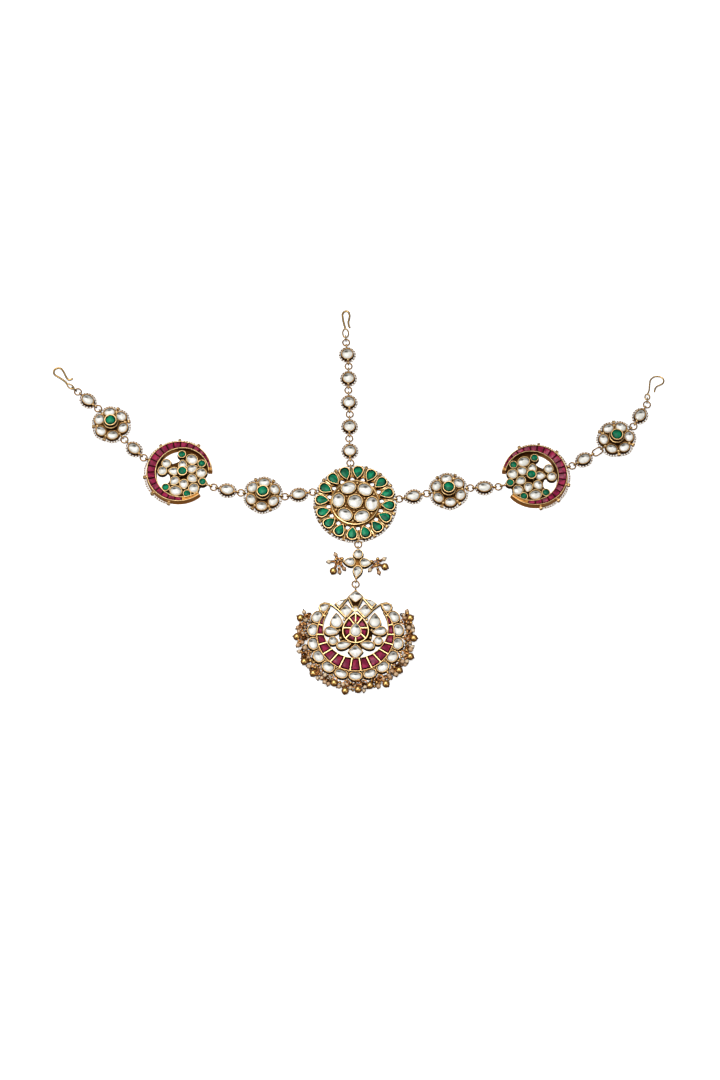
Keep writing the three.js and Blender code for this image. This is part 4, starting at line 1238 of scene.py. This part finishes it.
def cluster(node, middle, rows, place):
    wire, balls, pearls = Making(), Making(), Making()
    on_loop = place @ spot(middle, 0, 0, JOINT_HEIGHT)
    cut_ring(wire, DROP_RING["radius"], DROP_RING["wire"], on_loop, RING_CUT_AT, dark=0.0)
    for x, y, lean in SPARE_RINGS:
        spare = place @ spot(middle + x, y, 0, 1.9) @ leaning(lean, lean)
        cut_ring(wire, 1.0, 0.32, spare, RING_CUT_AT, dark=0.0)
    for x, y, z, size in rows:
        away_from = math.hypot(x, y)
        if size < SMALLEST_PEARL:
            ball(balls, (middle + x, y, z), size, place, 0.5, 10, 7)
            continue
        on_ring = DROP_RING["radius"]
        start = (middle + x / away_from * on_ring, y / away_from * on_ring, JOINT_HEIGHT)
        beads = balls if size > SMALLEST_BALL else pearls
        head_pin(wire, beads, start, (middle + x, y, z), size, place)
    pieces(node, BEAD_WORK, wire=wire, ball=balls, pearls=pearls)


# x and y from the ring's middle, height of the bead's middle, size
LEFT_BEADS = [
    (-2.1, -5.8, 2.0, BALL),
    (3.2, -4.0, 1.4, 2.3),
    (1.1, -6.0, 1.3, 2.2),
    (-4.7, -0.8, 1.7, 2.4),
    (-1.6, 3.4, 1.5, 2.3),
    (1.9, 1.0, 2.6, 1.9),
    (-1.2, 0.4, 2.5, 1.8),
]
RIGHT_BEADS = [
    (4.7, -1.9, 2.0, BALL),
    (4.0, 2.5, 1.5, 2.3),
    (1.9, -5.1, 1.4, 2.3),
    (-2.8, -3.9, 1.4, 2.2),
    (0.8, 2.0, 2.5, 1.9),
    (-2.2, 0.4, 2.5, 1.9),
    (0.4, -1.8, 2.6, 1.7),
]
CLUSTER_FAR = 9.6
cluster("bead_cluster_left", -CLUSTER_FAR, LEFT_BEADS, connector_place @ spot(0, 1.2))
cluster("bead_cluster_right", CLUSTER_FAR, RIGHT_BEADS, connector_place @ spot(0, 1.2))

# ---------- Pendant ----------
# An open-work pendant: a ruby wheel round a pear-shaped stone, white petals and lozenges about
# it, and a broad ruby crescent below with scrolled horns. Stones stand along its outer edge.
PENDANT = {"below_ring": 27.8, "outer": 19.7, "inner": 16.3, "shift": 3.8, "horn": 42, "wall": 3.2,
           "floor": 2.0, "outer_rim": 0.42, "inner_rim": 0.36}
PENDANT_STONES = [
    # x, y, turn, (length, width, point), wall height; each is mirrored to the other side
    (9.7, 7.9, 90, (8.4, 6.3, 0.9), 2.6),
    (12.1, 2.1, 190, (7.4, 5.0, 0.7), 2.5),
    (11.4, -3.0, 0, (4.7, 4.7, 0.0), 2.4),
    (6.0, -5.3, 170, (7.4, 4.6, 0.55), 2.5),
    (15.6, 15.0, 155, (5.6, 4.6, 0.5), 2.3),
]
MIDDLE_STONE = {"y": 2.6, "form": (8.0, 6.0, 0.75), "foot": 1.5, "wall": 3.3}
LOZENGES = [
    # x, y, length up, width
    (0, 20.9, 6.6, 7.6),
    (0, -8.8, 7.9, 7.6),
    (4.8, 13.1, 7.2, 6.4),
    (-4.8, 13.1, 7.2, 6.4),
]
WHEEL = {"y": 3.7, "length": 16.3, "width": 13.5, "point": 0.5, "spokes": 8, "spoke": 0.32}
EDGE_STONES = {"count": 13, "step": 19.5, "far": 21.9, "depth": 5.4, "width": 6.7}
DROPS_FROM = 162.75  # degrees
PENDANT_LOOPS = {"drop": (24.2, 19.4), "chain": (26.0, 23.9)}  # reach, root
PENDANT_RUBIES = {"count": 15, "from": 33.0}
RUBY_SEAT = 0.44  # the dark seam round each ruby
BAR = 0.33  # half the width of the bars between them


def lozenge(length, width, count):
    """A square on its corner, with sides that bow out a little."""
    corners = []
    for turn in full_turn(count):
        c, s = math.cos(turn), math.sin(turn)
        along, across = math.copysign(abs(c) ** 1.75, c), math.copysign(abs(s) ** 1.75, s)
        corners.append((length / 2 * along, width / 2 * across))
    return corners


def half_round(depth, width, count):
    """A stone's outline with a nearly flat side on -X, which lies against the crescent."""
    corners = []
    for turn in full_turn(count):
        c, s = math.cos(turn), math.sin(turn)
        along = depth / 2 * c if c > 0 else depth / 2 * -abs(c) ** 0.55
        corners.append((along, width / 2 * math.copysign(abs(s) ** (1 if c > 0 else 0.8), s)))
    return corners


def bar(gold, low, high, run, half, rows, place, dark):
    """A straight bar between two points. run is its direction, and half is half its width."""
    half_side = Vector((-run.y, run.x)) * half
    sides = [low - half_side, high - half_side, high + half_side, low + half_side]
    slab(gold, [[tuple(corner) for corner in sides]], rows, place, dark)


pendant_ring = node_middle("ring_bottom_2")
pendant_place = spot(pendant_ring.x, pendant_ring.y - PENDANT["below_ring"])
pendant_gold, pendant_red, pendant_white = Making(), Making(), Making()

for x, y, length, width in LOZENGES:
    place = pendant_place @ spot(x, y, 90)
    collet(pendant_gold, lozenge(length, width, 40), place, 0.1, 2.6, AGED)
    stone(pendant_white, lozenge(length, width, 24), place, 2.6, 0.6)
for mirror in (1, -1):
    for x, y, turn, form, wall in PENDANT_STONES:
        place = pendant_place @ spot(mirror * x, y, turn if mirror > 0 else 180 - turn)
        setting(pendant_gold, pendant_white, form, place, 0.1, wall, 0.6, AGED)
middle_place = pendant_place @ spot(0, MIDDLE_STONE["y"], 90)
setting(pendant_gold, pendant_white, MIDDLE_STONE["form"], middle_place, MIDDLE_STONE["foot"],
        MIDDLE_STONE["wall"], 0.8)

# the ruby wheel: a low cup, its rim, and eight spokes with a stone between each two
wheel_place = pendant_place @ spot(0, WHEEL["y"], 90)
wheel_rim = outline(WHEEL["length"], WHEEL["width"], WHEEL["point"], 72)
wheel_rows = [
    # inset, height, painted shade and tarnish
    (0.1, 0.2, 1.0),
    (0, 0.5, 1.0),
    (0, 2.5, 0.6),
    (0.1, 2.85, 0.1),
    (0.42, 2.85, 0.1),
    (0.54, 2.7, 0.8),
    (0.6, 1.9, 1.0),
]
loft(pendant_gold, wheel_rim, wheel_rows, wheel_place)
stone_rim = outline(7.0, 4.8, 0.75, 72)
for k in range(WHEEL["spokes"]):
    here, there = k * 9, (k + 1) * 9 % 72
    out_here, out_there = Vector(wheel_rim[here]), Vector(wheel_rim[there])
    in_here, in_there = Vector(stone_rim[here]), Vector(stone_rim[there])
    run = (out_here - in_here).normalized()
    bar(pendant_gold, in_here * 0.95, out_here * 0.97, run, WHEEL["spoke"],
        [(0, 1.0), (0, 2.75), (0.1, 2.9)], wheel_place, -0.6)
    corners = [in_here.lerp(in_there, 0.27) * 1.12, out_here.lerp(out_there, 0.2) * 0.86,
               out_there.lerp(out_here, 0.2) * 0.86, in_there.lerp(in_here, 0.27) * 1.12]
    ruby(pendant_red, corners, 2.65, wheel_place)

# the crescent
outer, inner, shift, horn = (PENDANT[key] for key in ("outer", "inner", "shift", "horn"))
pendant_turns = [180 - horn + (180 + 2 * horn) * k / 90 for k in range(91)]
outside = [Vector(at_angle(turn, outer)) for turn in pendant_turns]
inside = [band_edge(turn, inner, 0, shift) for turn in pendant_turns]
# The floor is painted dark, as shade in the seams round the rubies.
band(pendant_gold, outside, inside, [(0, 0), (0, PENDANT["floor"])], pendant_place, 1.0)
pendant_rim = [(0, 1.0), (0, PENDANT["wall"] - 0.12), (0.1, PENDANT["wall"])]
rim_inside = [p - p.normalized() * PENDANT["outer_rim"] for p in outside]
rim_outside = [p + p.normalized() * PENDANT["inner_rim"] for p in inside]
band(pendant_gold, outside, rim_inside, pendant_rim, pendant_place, 0.3)
band(pendant_gold, rim_outside, inside, pendant_rim, pendant_place, 0.3)
ruby_span = (180 + 2 * PENDANT_RUBIES["from"]) / PENDANT_RUBIES["count"]
for k in range(PENDANT_RUBIES["count"] + 1):
    turn = 180 - PENDANT_RUBIES["from"] + k * ruby_span
    outward = Vector(at_angle(turn, 1))
    low, high = band_edge(turn, inner, 0, shift) + outward * 0.3, outward * (outer - 0.3)
    bar(pendant_gold, low, high, outward, BAR, [(0, 1.0), (0, 3.05), (0.14, 3.2)], pendant_place, -0.5)
    if k < PENDANT_RUBIES["count"]:
        corners = []
        for across, on_inner in ((1, True), (1, False), (-1, False), (-1, True)):
            degrees = turn if across > 0 else turn + ruby_span
            if on_inner:
                far = band_edge(degrees, inner, 0, shift).length + PENDANT["inner_rim"] + RUBY_SEAT
            else:
                far = outer - PENDANT["outer_rim"] - RUBY_SEAT
            degrees += across * math.degrees((BAR + RUBY_SEAT) / far)
            corners.append(Vector(at_angle(degrees, far)))
        ruby(pendant_red, corners, PENDANT["wall"] - 0.1, pendant_place)

# stones and loops along the outer edge
for k in range(EDGE_STONES["count"]):
    turn = -90 + (k - (EDGE_STONES["count"] - 1) / 2) * EDGE_STONES["step"]
    edge_place = pendant_place @ around(turn, EDGE_STONES["far"])
    size = EDGE_STONES["depth"] - (0.7 if abs(turn + 90) < 25 else 0.0), EDGE_STONES["width"]
    collet(pendant_gold, half_round(*size, 40), edge_place, 0.1, 2.4, AGED)
    stone(pendant_white, half_round(*size, 24), edge_place, 2.4, 0.6)
drop_angles = [DROPS_FROM + k * EDGE_STONES["step"] for k in range(EDGE_STONES["count"] - 1)]
for angle in drop_angles:
    upright_loop(pendant_gold, *PENDANT_LOOPS["drop"], pendant_place @ spot(0, 0, angle), **SMALL_LOOP)
upright_loop(pendant_gold, *PENDANT_LOOPS["chain"], pendant_place @ spot(0, 0, 90), **CHAIN_LOOP)

# the open gold work at the top: leaf frames, struts to a small ring, and the scrolled horns
LEAF = [(3.9, 19.8), (7.6, 19.0), (10.6, 17.2), (8.4, 14.6)]
STRAPS = [
    # points from end to end, each mirrored to the other side
    ((13.2, 17.0), (11.3, 15.8), (8.7, 13.7), (6.9, 11.6), (4.9, 9.6)),
    ((13.2, 17.0), (15.8, 17.5), (17.7, 16.6), (18.3, 15.0), (17.7, 13.3)),
    ((13.2, 17.0), (14.2, 15.0), (14.5, 13.4)),
    ((3.7, 20.3), (2.7, 18.0), (1.4, 15.3)),
    ((3.7, 20.3), (5.4, 18.0), (8.4, 14.2)),
    ((1.4, 13.3), (2.9, 11.5), (4.6, 9.6)),
]
GRAINS = [(5.6, 8.3), (8.1, 2.6), (7.6, -1.6)]
LEAF_ROWS = [
    # inset, height, painted shade and tarnish
    (-0.3, 0.3, 1.0),
    (-0.3, 0.8, 1.0),
    (0, 0.9, 1.0),
    (0, 2.2, 0.6),
    (0.12, 2.4, 0.0),
    (0.4, 2.4, 0.0),
    (0.5, 1.9, 1.0),
]
for mirror in (1, -1):
    for strap in STRAPS:
        tube(pendant_gold, [(mirror * x, y, 2.1) for x, y in strap], 0.42, 8, False, pendant_place)
        # A wider tube under each strap is painted dark, as its shade.
        tube(pendant_gold, [(mirror * x, y, 1.3) for x, y in strap], 0.66, 8, False, pendant_place, 1.0)
    leaf = [(mirror * x, y) for x, y in LEAF]
    if mirror > 0:
        leaf.reverse()
    centre = sum((Vector(p) for p in leaf), Vector((0, 0))) / 4
    leaf_shape = [tuple(Vector(p) - centre) for p in leaf]
    loft(pendant_gold, leaf_shape, LEAF_ROWS, pendant_place @ spot(*centre))
    leaf_stone = [tuple((Vector(p) - centre) * 0.8) for p in leaf]
    loft(pendant_white, leaf_stone, [(0, 1.8), (0.1, 2.4), (0.8, 2.8)],
         pendant_place @ spot(*centre), False, dice.random(), True)
    for x, y in GRAINS:
        ball(pendant_gold, (mirror * x, y, 2.2), 1.7, pendant_place, 0, 12, 7, 1.0, POLISHED)
small_ring = [p + Vector((0, 14.2, 0)) for p in circle(1.3, 24, 2.1)]
tube(pendant_gold, small_ring, 0.42, 8, True, pendant_place, POLISHED)
loft(pendant_gold, outline(17.0, 17.0, 0, 48), [(0, 0.05, 1.0), (0, 0.5, 1.0), (0.2, 0.6, 1.0)],
     pendant_place @ spot(0, 1.0))
# the small plate between the top stone and the ring
throat = [(3.1, 18.9), (-3.1, 18.9), (-1.6, 15.7), (1.6, 15.7)]
slab(pendant_gold, [throat], [(0, 0.6), (0, 1.2)], pendant_place, 1.0)

pieces("pendant", SET_WORK, gold=pendant_gold, red_stones=pendant_red, white_stones=pendant_white)

# ---------- Fringe ----------
# A small ring hangs in each loop between the edge stones and carries a gold ball and three or
# four pearls on head pins, which lie against each other in a thick fringe.
BALLS = [
    # drop, angle about the pendant's middle, distance from it
    (0, 161.5, 29.4),
    (1, 181.5, 29.6),
    (2, 208.6, 29.3),
    (3, 223.7, 29.4),
    (4, 247.1, 27.6),
    (5, 260, 30.1),
    (6, 272.6, 28.9),
    (6, 285.1, 27.7),
    (7, 300.5, 30.1),
    (8, 319.5, 28.8),
    (9, 337.6, 29.8),
    (10, 357, 29.4),
    (11, 378.5, 29.2),
]
STRETCHES = {
    # node: its first and last drop
    "fringe_1": (0, 2),
    "fringe_2": (3, 4),
    "fringe_3": (5, 6),
    "fringe_4": (7, 8),
    "fringe_5": (9, 11),
}
DROP_FAR = 25.7
STREWN = [
    # how many a drop, smallest and largest size, nearest and farthest from the pendant's middle
    (5, 2.1, 2.7, 26.4, 29.6),
    (6, 1.4, 1.9, 25.6, 29.0),
]
STREWN_SWING = 10  # degrees to each side of the drop
SPARES = {"count": 7, "swing": 8, "near": 25.6, "away": 28.4, "lean": 0.5, "radius": 1.05, "wire": 0.34}
MOST_TRIES = 300
CLOSEST = 0.46  # of two beads' sizes together, from middle to middle


def ball_at(angle, far):
    return (pendant_place @ around(angle, far)).translation + Vector((0, 0, BALL / 2))


taken = [(ball_at(angle, far), BALL) for _, angle, far in BALLS]
for node, (first, last) in STRETCHES.items():
    wire, balls, pearls = Making(), Making(), Making()
    for drop in range(first, last + 1):
        ring_place = pendant_place @ around(drop_angles[drop], DROP_FAR)
        ring_middle = ring_place.translation
        on_loop = ring_place @ spot(0, 0, 0, JOINT_HEIGHT)
        cut_ring(wire, DROP_RING["radius"], DROP_RING["wire"], on_loop, RING_CUT_AT, dark=0.0)
        beads = [(ball_at(angle, far), BALL) for owner, angle, far in BALLS if owner == drop]
        for wanted, low_size, high_size, near, away in STREWN:
            tries = 0
            while wanted and tries < MOST_TRIES:
                tries += 1
                size = dice.uniform(low_size, high_size)
                swing = drop_angles[drop] + dice.uniform(-STREWN_SWING, STREWN_SWING)
                centre = (pendant_place @ around(swing, dice.uniform(near, away))).translation
                centre = centre + Vector((0, 0, size / 2 + dice.choice((0, 0, 0.6, 1.5))))
                if all((centre - other).length > (size + width) * CLOSEST for other, width in taken):
                    taken.append((centre, size))
                    beads.append((centre, size))
                    wanted -= 1
        for n in range(SPARES["count"]):
            swing = drop_angles[drop] + dice.uniform(-SPARES["swing"], SPARES["swing"])
            spare = (pendant_place @ around(swing, dice.uniform(SPARES["near"], SPARES["away"]))).translation
            most = SPARES["lean"]
            lean = leaning(dice.uniform(-most, most), dice.uniform(-most, most))
            spare_place = Matrix.Translation(spare + Vector((0, 0, 1.2 + 0.3 * n))) @ lean
            dark = dice.choice((0.0, 0.4, 0.9))
            cut_ring(wire, SPARES["radius"], SPARES["wire"], spare_place, RING_CUT_AT, dark=dark)
        for centre, size in beads:
            if size < SMALLEST_PEARL:
                ball(balls, centre, size, None, dice.random(), 10, 7)
                continue
            toward = (centre - ring_middle).normalized()
            start = ring_middle + toward * DROP_RING["radius"]
            start.z = JOINT_HEIGHT
            head_pin(wire, balls if size > SMALLEST_BALL else pearls, start, centre, size, Matrix())
    pieces(node, BEAD_WORK, wire=wire, balls=balls, pearls=pearls)

# ---------- Hooks ----------
# Each chain ends in a hook bent from one length of gold-plated wire, its end turned back into
# an eye. A small oval ring joins the eye to the last jump ring.
HOOKS = {
    # wire's radius, the eye's length and width, and points along the wire from the eye outwards
    "left": (0.54, (5.2, 2.7), [
        (2.2, 0), (4.2, -0.5), (7.5, -0.5), (10.6, -0.3), (12.4, -1), (13.1, -2.8), (12.1, -4.5),
        (10.4, -5), (8.1, -4.2), (6.1, -3.2), (4.2, -2.4), (2.8, -2.7), (2.2, -3.9)]),
    "right": (0.42, (4.0, 3.3), [
        (1.7, 0), (4, -0.7), (6.4, -0.8), (8.5, -0.9), (10.5, -1.3), (12.2, -2.9), (12.7, -4.9),
        (12.4, -6.7), (11.3, -7.9), (9.9, -8.1), (8.6, -7.5), (7.6, -6.1), (6.9, -4.9),
        (5.9, -4.1), (4.8, -3.7), (3.5, -3.6)]),
    "top": (0.54, (6.0, 3.8), [
        (2.6, 0), (5.8, 0.6), (9, 1), (11.3, 1.1), (12.7, 0.4), (13.3, -0.9), (12.7, -2.1),
        (11.3, -2.6), (10, -2.6), (8.4, -2.3), (6.8, -1.8), (4.9, -1.9), (3.4, -2.3)]),
}
LAST_RING = {"left": 8, "right": 8, "top": 6}
RING_TO_EYE = 2.45  # from the last ring's middle to the near side of the eye
EYE_WIRE = 0.38  # radius of the wire where it is drawn down for the eye
SMALL_RING = {"wire": 0.25, "half_height": 1.0, "square": 0.6}
PLAY = 0.3  # between a ring and the wire that it holds
FRAME_RING_WIRE = 0.35  # radius of the jump rings' wire in the frame


def rounded(points, steps):
    """A smooth path through the points."""
    ends = [2 * points[0] - points[1], *points, 2 * points[-1] - points[-2]]
    path = []
    for k in range(len(points) - 1):
        a, b, c, d = ends[k:k + 4]
        for n in range(steps):
            t = n / steps
            path.append(0.5 * (2 * b + (c - a) * t + (2 * a - 5 * b + 4 * c - d) * t ** 2
                               + (3 * b - a - 3 * c + d) * t ** 3))
    path.append(points[-1])
    return path


for side, (wire_radius, (eye_length, eye_width), route) in HOOKS.items():
    ring_middle = node_middle(f"ring_{side}_{LAST_RING[side]}")
    small_middle = node_middle(f"small_ring_{side}")
    run = small_middle - ring_middle
    heading = math.degrees(math.atan2(run.y, run.x))
    chain_end = spot(ring_middle.x, ring_middle.y, heading)
    reach = max(x for x, _ in route) + wire_radius
    lean = Matrix.Rotation(math.asin((JOINT_HEIGHT - wire_radius) / reach), 4, "Y")
    eye_place = chain_end @ spot(RING_TO_EYE + eye_length / 2, 0, 0, JOINT_HEIGHT) @ lean
    hook = Making()
    half_length, half_width = eye_length / 2 - EYE_WIRE, eye_width / 2 - EYE_WIRE
    eye = [(p.x * half_length, p.y * half_width, 0) for p in circle(1, 36)]
    tube(hook, eye, EYE_WIRE, 10, True, eye_place)
    path = rounded([Vector((x, y, 0)) for x, y in route], 8)
    tube(hook, path, wire_radius, 12, False, eye_place)
    ball(hook, path[-1], wire_radius * 2, eye_place, 0, 12, 8)
    piece(hook, f"hook_{side}_wire", wire_gold, "gold_wire", f"hook_{side}")

    twice_wire = 2 * SMALL_RING["wire"]
    inward = JUMP_RING["radius"] - FRAME_RING_WIRE - PLAY - twice_wire
    small_length = math.hypot(run.x, run.y) * 2 - 2 * inward - twice_wire
    small = Making()
    path = []
    for p in circle(1, 28):
        swell_x = math.copysign(abs(p.x) ** SMALL_RING["square"], p.x)
        swell_y = math.copysign(abs(p.y) ** SMALL_RING["square"], p.y)
        path.append((swell_x * small_length / 2, 0, swell_y * SMALL_RING["half_height"]))
    small_place = spot(small_middle.x, small_middle.y, heading, small_middle.z)
    tube(small, path, SMALL_RING["wire"], 8, True, small_place)
    piece(small, f"small_ring_{side}_wire", wire_gold, "gold_wire", f"small_ring_{side}")
